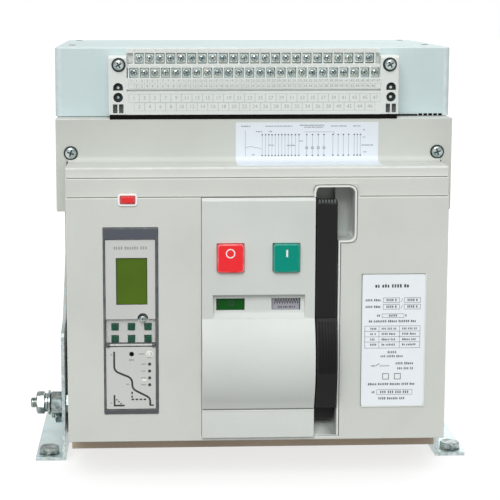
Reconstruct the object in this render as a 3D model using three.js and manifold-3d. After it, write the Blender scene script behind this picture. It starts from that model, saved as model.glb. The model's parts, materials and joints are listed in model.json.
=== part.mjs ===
// Fixed three-pole air circuit breaker.
// Millimetres, +X to the right, +Y to the back, +Z up. While it is built, X = 0 is the middle
// of the covers, Y = 0 the face of the front cover and Z = FLOOR the underside of the feet;
// the last lines move the origin to the bottom centre of the whole breaker.

import * as THREE from 'three';
import { mergeVertices } from 'three/addons/utils/BufferGeometryUtils.js';
import Module from 'manifold-3d';

const wasm = await Module();
wasm.setup();

// ---------------------------------------------------------------- driving dimensions

const FLOOR = 4; // level of the feet's undersides
const HEIGHT = 402; // underside of the feet to the top of the hood
const TOP = FLOOR + HEIGHT;
const FOOT_SPAN = 422; // over both mounting flanges
const BASE_BACK = 297; // front cover face to the back of the base
const TERMINAL_REACH = 26; // rear terminals behind the base
const POLE_PITCH = 115;
const POLES = 3;
const GAP = 0.3; // clearance between parts that touch
const DEG = Math.PI / 180;

const COVER = {
  half: 174.5, bottom: 45.4, top: 300, wall: 3, lipDepth: 14,
  panelTop: 272.7, bandTop: 290, bandStep: 4, shoulder: 250, shallowBack: 46.3, deepBack: 112,
};
const ARC_COVER = { half: 185.4, front: 46.6, back: 170, bottom: 254, top: 341, wall: 3 };
const HOOD = { half: 186.7, front: 68, bottom: 341.5, wall: 2.5, corner: 6, chamfer: 3 };
const BLOCK = {
  left: -136, right: 134, bottom: 344.5, top: 405.5, front: 45, back: 67.7, cap: 17,
  tiers: [[378.5, 54], [390, 60]],
};
const BASE = {
  half: 181.2, front: 150, bottom: 22, top: 341.2, wall: 12, floor: 8,
  cheekFront: 106, cheekWall: 4.5, ribReach: 12, ribHalf: 3, lugX: 150, lugHalf: 6,
};
const CHAMBER = { half: 52, bottom: 60, slotHalf: 12, slotBottom: 142, slotTop: 188 };
const TRAY = { half: 173.7, front: 42, bottom: 26, thick: 4, lip: 18 };
const PLATE = { outer: 185, thick: 3.5, front: 74, back: 250, top: 204 };
const PANEL = { left: -51.3, right: 52.4, bottom: 48.7, top: 272.4, front: -2, back: 25, wall: 2.5 };
const BULGE = { centreY: 66, centreZ: 119, radius: 80, low: 76.7, high: 161 };
const RECESS = { left: -41, right: 43, bottom: 165.7, top: 183, sill: 161.5, floor: 3, back: 6 };
const WINDOWS = { contact: [-37.9, -11.8], charge: [13, 39.4], bottom: 167.8, top: 178.9 };
const SLOT = { left: 52.7, right: 73.5, bottom: 48.7, top: 281.5, back: 40, wall: 2 };
const FINGER = { right: 88.2, bottom: 232.8, back: 28, corner: 6 };
const HANDLE = {
  left: 53.4, right: 72.6, top: 270, front: -1.5, thick: 13.5,
  pivotY: 22, pivotZ: 86, hub: 17, pin: 6,
};
const BUTTON = { width: 24.6, bottom: 204, top: 231, proud: 5.5, offX: -25.1, onX: 25.9, travel: 4 };
const FAULT_RESET = { left: -124.8, right: -111.8, bottom: 268, top: 274.5, front: -2.5, back: 16 };
const TRIP = {
  left: -140.7, right: -91.3, bottom: 72, top: 245.6, front: -1, back: 95,
  border: 1.3, crown: 10.6, sole: 4.3, wall: 2.5,
};
const DISPLAY = { bottom: 138.5, step: 161, front: 0, recess: 3, back: 5.5 };
const SCREEN = { left: -129.4, right: -100.9, bottom: 174.4, top: 217.8 };
const KEYS = { xs: [-130.7, -115.7, -100.6], zs: [153.4, 142.2], size: 6.2, front: 2, back: 7.5 };
const LID = { top: 160.6, front: -0.8, back: 1.2, hingeZ: 136.8, hingeY: 0.3, barrel: 1.4 };
const LID_SCREW = { x: -105.2, z: 161.6, head: 2.9, pocket: 4.9, shank: 1.4 };
const CURVE = { bottom: 76.6, top: 134.9, back: 4 };
const TRIP_RESET = { x: -99.5, z: 128.5, radius: 1.7 };
const TEST_PORT = { x: -115.7, z: 128.3, radius: 1.9 };
const RATING = { left: 96, right: 154.1, bottom: 77.2, top: 201.2, thick: 0.5 };
const COVER_SCREW = { x: 171.5, z: 309, head: 6.5, shank: 3 };
const GROUND = { y: 91, z: 58, radius: 5, tip: 216, flats: 19 };
const FOOT_BOLT = { x: 198.5, y: 88, radius: 5, flats: 17, head: 6.8 };

const CONTACT = {
  pivotY: 222, pivotZ: 135, hub: 11, open: 12 * DEG, half: 34, top: 255,
  pinRadius: 51.9, pinLean: 23.6 * DEG, pin: 4, pinHalf: 7, cheekOuter: 10, fingerPitch: 11.3,
};
const LINK = { length: 90, half: 4.7, eye: 7.4, slack: 0.6 };
const CRANK = { radius: CONTACT.pinRadius / 2, shaft: 10, half: 160, web: 14 };
const UPPER_TERMINAL = { bottom: 240, top: 260, front: 243 };
const LOWER_TERMINAL = { bottom: 95, top: 115, front: 240 };
const TERMINAL_HALF = 40;
const CHUTE = { half: 48, front: 168, back: 280, bottom: 265, top: 392, plates: 8 };
const CHARGER = { y: 66, z: 119, shaft: 8, ratchet: 22, teeth: 16, cam: 20, camOffset: 5 };
const SPRING = { x: -28, y: 110, bottom: 45, top: 105, outer: 15, inner: 10.5 };
const SOLENOID = { half: 16, front: 56, back: 100, bottom: 200, top: 236, plunger: 5, reach: 12 };
const MOTOR = {
  y: 60, z: 175, radius: 24, left: 94, right: 160,
  gearbox: { x: [82, 95], y: [30, 100], z: [110, 205] },
};
const SWITCH = {
  x: [96, 162], y: [60, 119], z: [225, 270],
  posts: 5, firstPost: 100, postPitch: 12, postWidth: 6, postTip: 126, postZ: [232, 262],
};

// ---------------------------------------------------------------- finishes

function finish(color, roughness, metalness = 0) {
  return new THREE.MeshStandardMaterial({ color, roughness, metalness });
}

const FINISH = {
  cover: () => finish(0xc8ccc6, 0.55),
  panel: () => finish(0xc9cec9, 0.5),
  hood: () => finish(0xc4d4d4, 0.5),
  block: () => finish(0xcfd4d0, 0.5),
  base: () => finish(0x6b4a3a, 0.7),
  steel: () => finish(0xc6ceca, 0.35, 0.9),
  zinc: () => finish(0xb9c1be, 0.3, 1),
  copper: () => finish(0xb87348, 0.35, 1),
  black: () => finish(0x2a2a2b, 0.5),
  well: () => finish(0x9aa09c, 0.6),
  bezel: () => finish(0x5b5f62, 0.5),
  trim: () => finish(0xc5c6c5, 0.5),
  screen: () => finish(0x4d692a, 0.2),
  key: () => finish(0x1c5a43, 0.5),
  clear: () => finish(0xdfe6e6, 0.1),
  red: () => finish(0xe0343a, 0.4),
  green: () => finish(0x0b8a78, 0.4),
  paper: () => finish(0xd4dade, 0.6),
};

// ---------------------------------------------------------------- solid helpers

function toSolid(geometry) {
  const bare = geometry.clone();
  bare.deleteAttribute('normal');
  bare.deleteAttribute('uv');
  const merged = mergeVertices(bare, 1e-4);
  return new wasm.Manifold(new wasm.Mesh({
    numProp: 3,
    vertProperties: new Float32Array(merged.attributes.position.array),
    triVerts: new Uint32Array(merged.index.array),
  }));
}

function toGeometry(solid) {
  const mesh = solid.getMesh();
  const geometry = new THREE.BufferGeometry();
  geometry.setAttribute('position', new THREE.BufferAttribute(mesh.vertProperties, 3));
  geometry.setIndex(new THREE.BufferAttribute(mesh.triVerts, 1));
  geometry.computeVertexNormals();
  return geometry;
}

function join(...shapes) {
  return toGeometry(shapes.map(toSolid).reduce((whole, next) => whole.add(next)));
}

function cut(shape, ...tools) {
  return toGeometry(tools.map(toSolid).reduce((left, tool) => left.subtract(tool), toSolid(shape)));
}

function block([x0, x1], [y0, y1], [z0, z1]) {
  const box = new THREE.BoxGeometry(x1 - x0, y1 - y0, z1 - z0);
  return box.translate((x0 + x1) / 2, (y0 + y1) / 2, (z0 + z1) / 2);
}

// Turns local (u, v, w) into model axes: along X, (u, v) is (Y, Z); along Y it is (X, Z) with
// w running to the front; along Z it is (X, Y).
function orient(geometry, axis) {
  const [x, y, z] = [new THREE.Vector3(1, 0, 0), new THREE.Vector3(0, 1, 0), new THREE.Vector3(0, 0, 1)];
  const basis = new THREE.Matrix4();
  if (axis === 'x') basis.makeBasis(y, z, x);
  if (axis === 'y') basis.makeBasis(x, z, y.clone().negate());
  return geometry.applyMatrix4(basis);
}

// Straight prism of an outline, from one coordinate to another along an axis.
function prism(axis, outline, [from, to], curveSegments = 6) {
  const shape = Array.isArray(outline)
    ? new THREE.Shape(outline.map(([u, v]) => new THREE.Vector2(u, v)))
    : outline;
  const extrusion = new THREE.ExtrudeGeometry(shape, {
    depth: to - from, bevelEnabled: false, curveSegments,
  });
  extrusion.translate(0, 0, axis === 'y' ? -to : from);
  return orient(extrusion, axis);
}

// Round rod about an axis; centre is given in the two other model axes.
function rod(axis, [u, v], radius, [from, to], sides = 24) {
  const cylinder = new THREE.CylinderGeometry(radius, radius, to - from, sides);
  cylinder.rotateX(Math.PI / 2);
  cylinder.translate(u, v, axis === 'y' ? -(from + to) / 2 : (from + to) / 2);
  return orient(cylinder, axis);
}

function hexagon(axis, centre, flats, span) {
  return rod(axis, centre, flats / Math.sqrt(3), span, 6);
}

function roundedRect([u0, u1], [v0, v1], radius) {
  const shape = new THREE.Shape();
  shape.moveTo(u0 + radius, v0);
  shape.lineTo(u1 - radius, v0);
  shape.absarc(u1 - radius, v0 + radius, radius, -Math.PI / 2, 0);
  shape.lineTo(u1, v1 - radius);
  shape.absarc(u1 - radius, v1 - radius, radius, 0, Math.PI / 2);
  shape.lineTo(u0 + radius, v1);
  shape.absarc(u0 + radius, v1 - radius, radius, Math.PI / 2, Math.PI);
  shape.lineTo(u0, v0 + radius);
  shape.absarc(u0 + radius, v0 + radius, radius, Math.PI, 1.5 * Math.PI);
  return shape;
}

// Points on an arc in the Y-Z plane; angle 0 points to the front and positive angles go up.
function frontArc(centreY, centreZ, radius, fromAngle, toAngle, steps) {
  const points = [];
  for (let i = 0; i <= steps; i += 1) {
    const angle = fromAngle + ((toAngle - fromAngle) * i) / steps;
    points.push([centreY - radius * Math.cos(angle), centreZ + radius * Math.sin(angle)]);
  }
  return points;
}

function addPart(group, name, geometry, material) {
  const mesh = new THREE.Mesh(geometry, material);
  mesh.name = name;
  group.add(mesh);
  return mesh;
}

// ---------------------------------------------------------------- covers

function frontCover() {
  const c = COVER;
  const open = c.deepBack + 1;
  const profile = [
    [0, c.bottom], [c.deepBack, c.bottom], [c.deepBack, c.shoulder], [c.shallowBack, c.shoulder],
    [c.shallowBack, c.top], [3 * c.bandStep, c.top], [2 * c.bandStep, c.top - c.bandStep],
    [2 * c.bandStep, c.bandTop], [c.bandStep, c.bandTop], [c.bandStep, c.panelTop], [0, c.panelTop],
  ];
  const cavity = [
    [c.wall, c.bottom + c.wall], [open, c.bottom + c.wall], [open, c.top - c.wall],
    [3 * c.bandStep + 2, c.top - c.wall], [2 * c.bandStep + c.wall, c.bandTop],
    [c.bandStep + c.wall, c.panelTop], [c.wall, c.panelTop - c.wall],
  ];
  const shell = cut(
    prism('x', profile, [-c.half, c.half]),
    prism('x', cavity, [c.wall - c.half, c.half - c.wall]),
    block([c.wall - c.half, c.half - c.wall], [c.lipDepth, open], [c.bottom - 1, c.bottom + c.wall + 1]),
  );
  const through = [-5, 12];
  return cut(
    shell,
    block([TRIP.left - GAP, TRIP.right + GAP], through, [TRIP.bottom - GAP, TRIP.top + GAP]),
    block([PANEL.left - GAP, SLOT.right + SLOT.wall + GAP], through, [PANEL.bottom - GAP, PANEL.top + GAP]),
    block([SLOT.left, FINGER.right + SLOT.wall + GAP], through,
      [FINGER.bottom - SLOT.wall - GAP, SLOT.top + SLOT.wall + GAP]),
    block([FAULT_RESET.left - GAP, FAULT_RESET.right + GAP], through,
      [FAULT_RESET.bottom - GAP, FAULT_RESET.top + GAP]),
  );
}

function arcCover() {
  const a = ARC_COVER;
  const inner = a.half - a.wall;
  const shell = cut(
    block([-a.half, a.half], [a.front, a.back], [a.bottom, a.top]),
    block([-inner, inner], [a.front + a.wall, a.back + 1], [a.bottom - 1, a.top - a.wall]),
    block([-inner, inner], [BASE.front - GAP, a.back + 1], [a.bottom - 1, a.top + 1]),
  );
  return cut(
    shell,
    block([-COVER.half - 0.7, COVER.half + 0.7], [a.front - 1, a.front + a.wall + 1],
      [a.bottom - 1, COVER.top + GAP]),
    ...[-1, 1].map((side) => rod('y', [side * COVER_SCREW.x, COVER_SCREW.z], COVER_SCREW.shank + GAP,
      [a.front - 1, a.front + a.wall + 1], 12)),
  );
}

function coverScrew(side) {
  const face = ARC_COVER.front - GAP;
  const place = [side * COVER_SCREW.x, COVER_SCREW.z];
  return join(
    rod('y', place, COVER_SCREW.head, [face - 2.8, face], 20),
    rod('y', place, COVER_SCREW.shank, [face - 1, face + 12], 12),
  );
}

function hood() {
  const h = HOOD;
  const outer = roundedRect([-h.half, h.half], [h.front, BASE_BACK], h.corner);
  const shell = prism('z', outer, [h.bottom, TOP - h.chamfer], 3);
  const lid = roundedRect([h.chamfer - h.half, h.half - h.chamfer],
    [h.front + h.chamfer, BASE_BACK - h.chamfer], h.corner - 2);
  const inner = h.half - h.wall;
  return cut(
    join(shell, prism('z', lid, [TOP - h.chamfer - 1, TOP], 3)),
    block([-inner, inner], [h.front + h.wall, BASE_BACK - h.wall], [h.bottom - 1, TOP - h.wall - 1]),
  );
}

function terminalBlock() {
  const b = BLOCK;
  const [[lowStep, lowFace], [highStep, highFace]] = b.tiers;
  const steps = [
    [b.front, b.bottom], [b.back, b.bottom], [b.back, b.top], [highFace, b.top], [highFace, highStep],
    [lowFace, highStep], [lowFace, lowStep], [b.front, lowStep],
  ];
  const capSide = [
    [b.front, b.bottom], [b.back, b.bottom], [b.back, b.top], [b.front + 5, b.top], [b.front, b.top - 5],
  ];
  return join(
    prism('x', steps, [b.left + 1, b.right - 1]),
    prism('x', capSide, [b.left, b.left + b.cap]),
    prism('x', capSide, [b.right - b.cap, b.right]),
  );
}

function mechanismPanel() {
  const p = PANEL;
  const swing = Math.asin((BULGE.high - BULGE.centreZ) / BULGE.radius);
  const bulge = (radius) => frontArc(BULGE.centreY, BULGE.centreZ, radius, -swing, swing, 10);
  const profile = [
    [p.back, p.bottom], [p.back, p.top], [p.front + 2, p.top], [p.front, p.top - 2.5],
    [p.front, BULGE.high], ...bulge(BULGE.radius).reverse(), [p.front - 1, BULGE.low - 2],
    [p.front - 1, p.bottom],
  ];
  const inside = p.front + p.wall;
  const cavity = [
    [p.back + 1, p.bottom + p.wall], [p.back + 1, p.top - p.wall], [inside, p.top - p.wall],
    [inside, RECESS.top + 3], [RECESS.back, RECESS.top + 3], [RECESS.back, RECESS.sill - 3],
    [inside, RECESS.sill - 3], ...bulge(BULGE.radius - p.wall).reverse(), [inside, p.bottom + p.wall],
  ];
  const recess = [
    [p.front - 1, RECESS.top], [RECESS.floor, RECESS.top], [RECESS.floor, RECESS.bottom],
    [p.front - 0.01, RECESS.sill], [p.front - 1, RECESS.sill],
  ];
  const windowZ = [WINDOWS.bottom, WINDOWS.top];
  const buttonHole = (x) => block([x - BUTTON.width / 2 - GAP, x + BUTTON.width / 2 + GAP],
    [p.front - 1, inside + 1], [BUTTON.bottom, BUTTON.top]);
  return cut(
    prism('x', profile, [p.left, p.right]),
    prism('x', cavity, [p.left + p.wall, p.right - p.wall]),
    prism('x', recess, [RECESS.left, RECESS.right]),
    block(WINDOWS.contact, [RECESS.floor - 1, RECESS.back + 1], windowZ),
    block(WINDOWS.charge, [RECESS.floor - 1, RECESS.back + 1], windowZ),
    buttonHole(BUTTON.offX),
    buttonHole(BUTTON.onX),
  );
}

function pushButton(x) {
  const half = BUTTON.width / 2;
  const inside = PANEL.front + PANEL.wall;
  const height = [BUTTON.bottom + GAP, BUTTON.top - GAP];
  const stem = [x, (BUTTON.bottom + BUTTON.top) / 2];
  return join(
    prism('y', roundedRect([x - half, x + half], height, 2),
      [PANEL.front - BUTTON.proud + 2, inside + 2.5], 2),
    block([x - half - 1.5, x + half + 1.5], [inside + 0.5, inside + 2.5],
      [height[0] - 1.5, height[1] + 1.5]),
    rod('y', stem, 5, [inside + 2, PANEL.back - BUTTON.travel - 1], 12),
  );
}

function indicatorFlag([left, right]) {
  const face = RECESS.back + GAP;
  const plate = [WINDOWS.bottom - 14, WINDOWS.top + 1.5];
  return join(
    block([left + 0.5, right - 0.5], [face, face + 2], plate),
    block([left + 8, left + 14], [face + 1, PANEL.back - 2], [plate[0], plate[0] + 3]),
  );
}

function faultResetButton() {
  const f = FAULT_RESET;
  const middle = [(f.left + f.right) / 2, (f.bottom + f.top) / 2];
  return join(
    block([f.left, f.right], [f.front, COVER.wall + 5], [f.bottom, f.top]),
    rod('y', middle, 2, [COVER.wall + 4, f.back], 12),
  );
}

function ratingPlate() {
  const r = RATING;
  return prism('y', roundedRect([r.left, r.right], [r.bottom, r.top], 2), [-GAP - r.thick, -GAP], 2);
}

// ---------------------------------------------------------------- charging handle

function handleWell() {
  const s = SLOT;
  const outerRight = s.right + s.wall;
  const rampTop = s.bottom + 13.5;
  const shellSide = [
    [GAP, s.bottom], [COVER.lipDepth + GAP, s.bottom], [s.back + s.wall, rampTop - 2],
    [s.back + s.wall, s.top + s.wall], [GAP, s.top + s.wall],
  ];
  const hollowSide = [
    [-1, s.bottom + 1], [GAP, s.bottom + 1], [s.back, rampTop], [s.back, s.top], [-1, s.top],
  ];
  const pocket = roundedRect([s.left - 20, FINGER.right], [FINGER.bottom, s.top], FINGER.corner);
  return join(
    cut(
      join(
        prism('x', shellSide, [s.left, outerRight]),
        block([s.left, FINGER.right + s.wall], [GAP, FINGER.back + s.wall],
          [FINGER.bottom - s.wall, s.top + s.wall]),
      ),
      prism('x', hollowSide, [s.left - 1, s.right]),
      prism('y', pocket, [-1, FINGER.back], 4),
    ),
    rod('x', [HANDLE.pivotY, HANDLE.pivotZ], HANDLE.pin, [s.left, s.right + 1], 20),
  );
}

function chargingHandle() {
  const h = HANDLE;
  const swing = Math.asin((BULGE.high - BULGE.centreZ) / BULGE.radius);
  const gripArc = frontArc(BULGE.centreY, BULGE.centreZ, BULGE.radius + 0.5, swing, -swing, 10);
  const hubArc = frontArc(h.pivotY, h.pivotZ, h.hub, -60 * DEG, -200 * DEG, 8);
  const side = [
    [h.front + 2, h.top], [h.front, h.top - 3], [h.front, BULGE.high], ...gripArc, ...hubArc,
    [h.front + h.thick + 2, BULGE.high - 6], [h.front + h.thick, BULGE.high + 12],
    [h.front + h.thick, h.top],
  ];
  return cut(
    prism('x', side, [h.left, h.right]),
    rod('x', [h.pivotY, h.pivotZ], h.pin + GAP + 0.1, [h.left - 1, h.right + 1], 20),
  );
}

// ---------------------------------------------------------------- trip unit

function tripUnitHousing() {
  const t = TRIP;
  return cut(
    block([t.left, t.right], [t.front, t.back], [t.bottom, t.top]),
    block([t.left + t.border, t.right - t.border - 0.7], [t.front - 1, t.front + 14],
      [t.bottom + t.sole, t.top - t.crown]),
    block([t.left + t.wall, t.right - t.wall], [t.front + 13, t.back - t.wall],
      [t.bottom + t.wall, t.top - t.wall]),
  );
}

const TRIP_FACE = [TRIP.left + TRIP.border + GAP, TRIP.right - TRIP.border - 0.7 - GAP];

function displayPanel() {
  const d = DISPLAY;
  const top = TRIP.top - TRIP.crown - GAP;
  const side = [
    [d.front, d.step], [d.recess, d.step], [d.recess, d.bottom], [d.back, d.bottom], [d.back, top],
    [d.front, top],
  ];
  const hole = KEYS.size / 2 + GAP;
  const keyHoles = KEYS.xs.flatMap((x) => KEYS.zs.map((z) => (
    block([x - hole, x + hole], [d.recess - 1, d.back + 1], [z - hole, z + hole]))));
  const screwAt = [LID_SCREW.x, LID_SCREW.z];
  return cut(
    prism('x', side, TRIP_FACE),
    block([SCREEN.left, SCREEN.right], [d.front - 1, d.back + 1], [SCREEN.bottom, SCREEN.top]),
    rod('y', screwAt, LID_SCREW.pocket, [d.front - 1, d.recess], 16),
    rod('y', screwAt, LID_SCREW.shank + GAP, [d.front, d.back + 1], 12),
    ...keyHoles,
  );
}

function lcdScreen() {
  return block([SCREEN.left + GAP, SCREEN.right - GAP], [DISPLAY.front + 1.5, DISPLAY.back + 1],
    [SCREEN.bottom + GAP, SCREEN.top - GAP]);
}

function tripKey() {
  const half = KEYS.size / 2;
  return block([-half, half], [KEYS.front, KEYS.back], [-half, half]);
}

function keypadCover() {
  const [left, right] = TRIP_FACE;
  const sides = [left + 0.4, right - 0.4];
  const plate = cut(
    block(sides, [LID.front, LID.back], [LID.hingeZ, LID.top]),
    rod('y', [LID_SCREW.x, LID_SCREW.z], LID_SCREW.head + 0.6, [LID.front - 1, LID.back + 1], 16),
  );
  return join(plate, rod('x', [LID.hingeY, LID.hingeZ], LID.barrel, sides, 12));
}

function keypadCoverScrew() {
  const place = [LID_SCREW.x, LID_SCREW.z];
  return join(
    rod('y', place, LID_SCREW.head, [LID.front - 1.5, DISPLAY.recess - GAP], 16),
    rod('y', place, LID_SCREW.shank, [DISPLAY.recess - 1, DISPLAY.back + 4], 10),
  );
}

function curvePanel() {
  const hole = (place, depth) => rod('y', [place.x, place.z], place.radius + GAP, [-1, depth], 12);
  return cut(
    block(TRIP_FACE, [DISPLAY.front, CURVE.back], [CURVE.bottom, CURVE.top]),
    hole(TRIP_RESET, CURVE.back + 1),
    hole(TEST_PORT, CURVE.back - 1.5),
  );
}

function tripResetButton() {
  return rod('y', [TRIP_RESET.x, TRIP_RESET.z], TRIP_RESET.radius, [-1, 8], 12);
}

// ---------------------------------------------------------------- base and poles

const poleX = (index) => (index - (POLES - 1) / 2) * POLE_PITCH;

// The crank pin, the link and the contact pin share one lean, so the link keeps its slope.
const leanUp = [-Math.sin(CONTACT.pinLean), Math.cos(CONTACT.pinLean)];
const leanBack = [Math.cos(CONTACT.pinLean), Math.sin(CONTACT.pinLean)];
const SHAFT = [0, 1].map((i) => [CONTACT.pivotY, CONTACT.pivotZ][i]
  + (CONTACT.pinRadius - CRANK.radius) * leanUp[i] - LINK.length * leanBack[i]);

function turned([y, z], radius, angleFromUp) {
  return [y - radius * Math.sin(angleFromUp), z + radius * Math.cos(angleFromUp)];
}

const CRANK_PIN = turned(SHAFT, CRANK.radius, CONTACT.pinLean + CONTACT.open);
const CONTACT_PIN = turned([CONTACT.pivotY, CONTACT.pivotZ], CONTACT.pinRadius,
  CONTACT.pinLean + CONTACT.open / 2);

function baseHousing() {
  const b = BASE;
  const lug = (x) => block([x - b.lugHalf, x + b.lugHalf], [SHAFT[0] - 16, b.front + 1],
    [SHAFT[1] - 18, SHAFT[1] + 18]);
  const cheekTop = ARC_COVER.top - ARC_COVER.wall - GAP;
  const cheek = (side) => block(side < 0 ? [-b.half, b.cheekWall - b.half] : [b.half - b.cheekWall, b.half],
    [b.cheekFront, b.front + 1], [b.bottom, cheekTop]);
  const rib = (x) => block([x - b.ribHalf, x + b.ribHalf], [BASE_BACK - 1, BASE_BACK + b.ribReach],
    [40, b.top - 24]);
  const solid = join(
    block([-b.half, b.half], [b.front, BASE_BACK], [b.bottom, b.top]),
    lug(-b.lugX), lug(b.lugX), cheek(-1), cheek(1), rib(-POLE_PITCH / 2), rib(POLE_PITCH / 2),
  );
  const depth = [b.front + b.wall, BASE_BACK - b.wall];
  const tools = [];
  for (let i = 0; i < POLES; i += 1) {
    const x = poleX(i);
    const width = [x - CHAMBER.half, x + CHAMBER.half];
    const bars = [x - TERMINAL_HALF - GAP, x + TERMINAL_HALF + GAP];
    const backWall = [depth[1] - 1, BASE_BACK + 1];
    tools.push(block(width, depth, [CHAMBER.bottom, b.top + 1]));
    tools.push(block(width, depth, [b.bottom - 1, CHAMBER.bottom - b.floor]));
    tools.push(block([x - CHAMBER.slotHalf, x + CHAMBER.slotHalf], [b.front - 1, b.front + b.wall + 1],
      [CHAMBER.slotBottom, CHAMBER.slotTop]));
    tools.push(block(bars, backWall, [UPPER_TERMINAL.bottom - GAP, UPPER_TERMINAL.top + GAP]));
    tools.push(block(bars, backWall, [LOWER_TERMINAL.bottom - GAP, LOWER_TERMINAL.top + GAP]));
  }
  return cut(solid, ...tools, rod('x', SHAFT, CRANK.shaft + 0.4, [-200, 200]));
}

function terminalHoles(z) {
  return [-20, 20].map((x) => rod('z', [x, BASE_BACK + TERMINAL_REACH / 2], 6.5, z, 16));
}

function upperTerminal() {
  const z = [UPPER_TERMINAL.bottom, UPPER_TERMINAL.top];
  return cut(
    block([-TERMINAL_HALF, TERMINAL_HALF], [UPPER_TERMINAL.front, BASE_BACK + TERMINAL_REACH], z),
    ...terminalHoles([z[0] - 1, z[1] + 1]),
  );
}

function lowerTerminal() {
  const z = [LOWER_TERMINAL.bottom, LOWER_TERMINAL.top];
  const pivot = [CONTACT.pivotY, CONTACT.pivotZ];
  return cut(
    join(
      block([-TERMINAL_HALF, TERMINAL_HALF], [LOWER_TERMINAL.front, BASE_BACK + TERMINAL_REACH], z),
      block([-CONTACT.half, CONTACT.half], [CONTACT.pivotY, LOWER_TERMINAL.front + 10],
        [z[0], CONTACT.pivotZ]),
    ),
    rod('x', pivot, CONTACT.hub + 0.5, [-50, 50]),
    ...terminalHoles([z[0] - 1, z[1] + 1]),
  );
}

// Built in the closed position, then swung open about its pivot.
function movingContact() {
  const c = CONTACT;
  const closedPin = turned([0, 0], c.pinRadius, c.pinLean - c.open / 2);
  const cheek = (x) => prism('x', [
    [-5, closedPin[1] - 9], [-5, closedPin[1] + 9], [closedPin[0] - 7, closedPin[1] + 7],
    [closedPin[0] - 7, closedPin[1] - 7],
  ], x);
  const reach = UPPER_TERMINAL.front - GAP - c.pivotY;
  const height = c.top - c.pivotZ;
  const slits = [-2, -1, 0, 1, 2].map((i) => (
    block([i * c.fingerPitch - 0.8, i * c.fingerPitch + 0.8], [-20, 40], [75, 200])));
  const contact = cut(
    join(
      rod('x', [0, 0], c.hub, [-c.half, c.half]),
      block([-c.half, c.half], [-7, 7], [0, height]),
      block([-c.half, c.half], [6, reach], [height - 15, height]),
      cheek([-c.cheekOuter, -LINK.half - GAP]),
      cheek([LINK.half + GAP, c.cheekOuter]),
      rod('x', closedPin, c.pin, [-c.pinHalf, c.pinHalf], 14),
    ),
    ...slits,
  );
  return contact.rotateX(c.open).translate(0, c.pivotY, c.pivotZ);
}

function driveLink() {
  const width = [-LINK.half, LINK.half];
  const along = LINK.length;
  const bar = join(
    block(width, [0, along], [-5, 5]),
    rod('x', [0, 0], LINK.eye, width, 16),
    rod('x', [along, 0], LINK.eye, width, 16),
  );
  const link = cut(
    bar,
    rod('x', [0, 0], CONTACT.pin + GAP, [-10, 10], 14),
    rod('x', [along, 0], CONTACT.pin + LINK.slack, [-10, 10], 14),
  );
  return link.rotateX(CONTACT.pinLean).translate(0, CRANK_PIN[0], CRANK_PIN[1]);
}

function mainShaft() {
  const lean = CONTACT.pinLean + CONTACT.open;
  const arm = [[-CRANK.web, -4], [CRANK.web, -4], [7, CRANK.radius + 6], [-7, CRANK.radius + 6]];
  const outer = CONTACT.cheekOuter;
  const pieces = [rod('x', SHAFT, CRANK.shaft, [-CRANK.half, CRANK.half])];
  for (let i = 0; i < POLES; i += 1) {
    const x = poleX(i);
    for (const span of [[x - outer, x - LINK.half - GAP], [x + LINK.half + GAP, x + outer]]) {
      pieces.push(prism('x', arm, span).rotateX(lean).translate(0, SHAFT[0], SHAFT[1]));
    }
    pieces.push(rod('x', CRANK_PIN, CONTACT.pin, [x - CONTACT.pinHalf, x + CONTACT.pinHalf], 14));
  }
  return join(...pieces);
}

function arcChute() {
  const c = CHUTE;
  const pitch = (c.back - c.front - 10) / c.plates;
  const gaps = [];
  for (let i = 0; i < c.plates; i += 1) {
    const y = c.front + 5 + i * pitch;
    gaps.push(block([5 - c.half, c.half - 5], [y + 1, y + pitch - 1], [c.bottom - 1, c.top - 10]));
    gaps.push(block([-12, 12], [y + 1, y + pitch - 1], [c.top - 11, c.top + 1]));
  }
  return cut(block([-c.half, c.half], [c.front, c.back], [c.bottom, c.top]), ...gaps);
}

// ---------------------------------------------------------------- charging mechanism

function ratchetOutline() {
  const points = [];
  for (let i = 0; i < CHARGER.teeth; i += 1) {
    const angle = (i / CHARGER.teeth) * 2 * Math.PI;
    points.push([CHARGER.ratchet * Math.cos(angle), CHARGER.ratchet * Math.sin(angle)]);
    points.push([(CHARGER.ratchet - 4) * Math.cos(angle), (CHARGER.ratchet - 4) * Math.sin(angle)]);
  }
  return points.map(([y, z]) => [y + CHARGER.y, z + CHARGER.z]);
}

function chargingShaft() {
  const centre = [CHARGER.y, CHARGER.z];
  return join(
    rod('x', centre, CHARGER.shaft, [-40, 48], 20),
    rod('x', [centre[0], centre[1] + CHARGER.camOffset], CHARGER.cam, [-36, -22], 24),
    prism('x', ratchetOutline(), [38, 45]),
  );
}

function closingSpring() {
  const { inner, outer, bottom, top } = SPRING;
  const profile = [[inner, bottom], [outer, bottom], [outer, top], [inner, top], [inner, bottom]];
  const tube = new THREE.LatheGeometry(profile.map(([r, z]) => new THREE.Vector2(r, z)), 20);
  return tube.rotateX(Math.PI / 2).translate(SPRING.x, SPRING.y, 0);
}

function springPlunger() {
  const centre = [SPRING.x, SPRING.y];
  return join(
    rod('z', centre, SPRING.outer, [SPRING.top + GAP, SPRING.top + 4], 20),
    rod('z', centre, 5, [SPRING.bottom + 12, SPRING.top + 28], 12),
  );
}

function solenoid(x) {
  const s = SOLENOID;
  return join(
    block([x - s.half, x + s.half], [s.front, s.back], [s.bottom, s.top]),
    rod('y', [x, (s.bottom + s.top) / 2], s.plunger, [s.front - s.reach, s.front + 1], 12),
  );
}

function springMotor() {
  const m = MOTOR;
  return join(
    rod('x', [m.y, m.z], m.radius, [m.left, m.right], 24),
    block(m.gearbox.x, m.gearbox.y, m.gearbox.z),
  );
}

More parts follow.
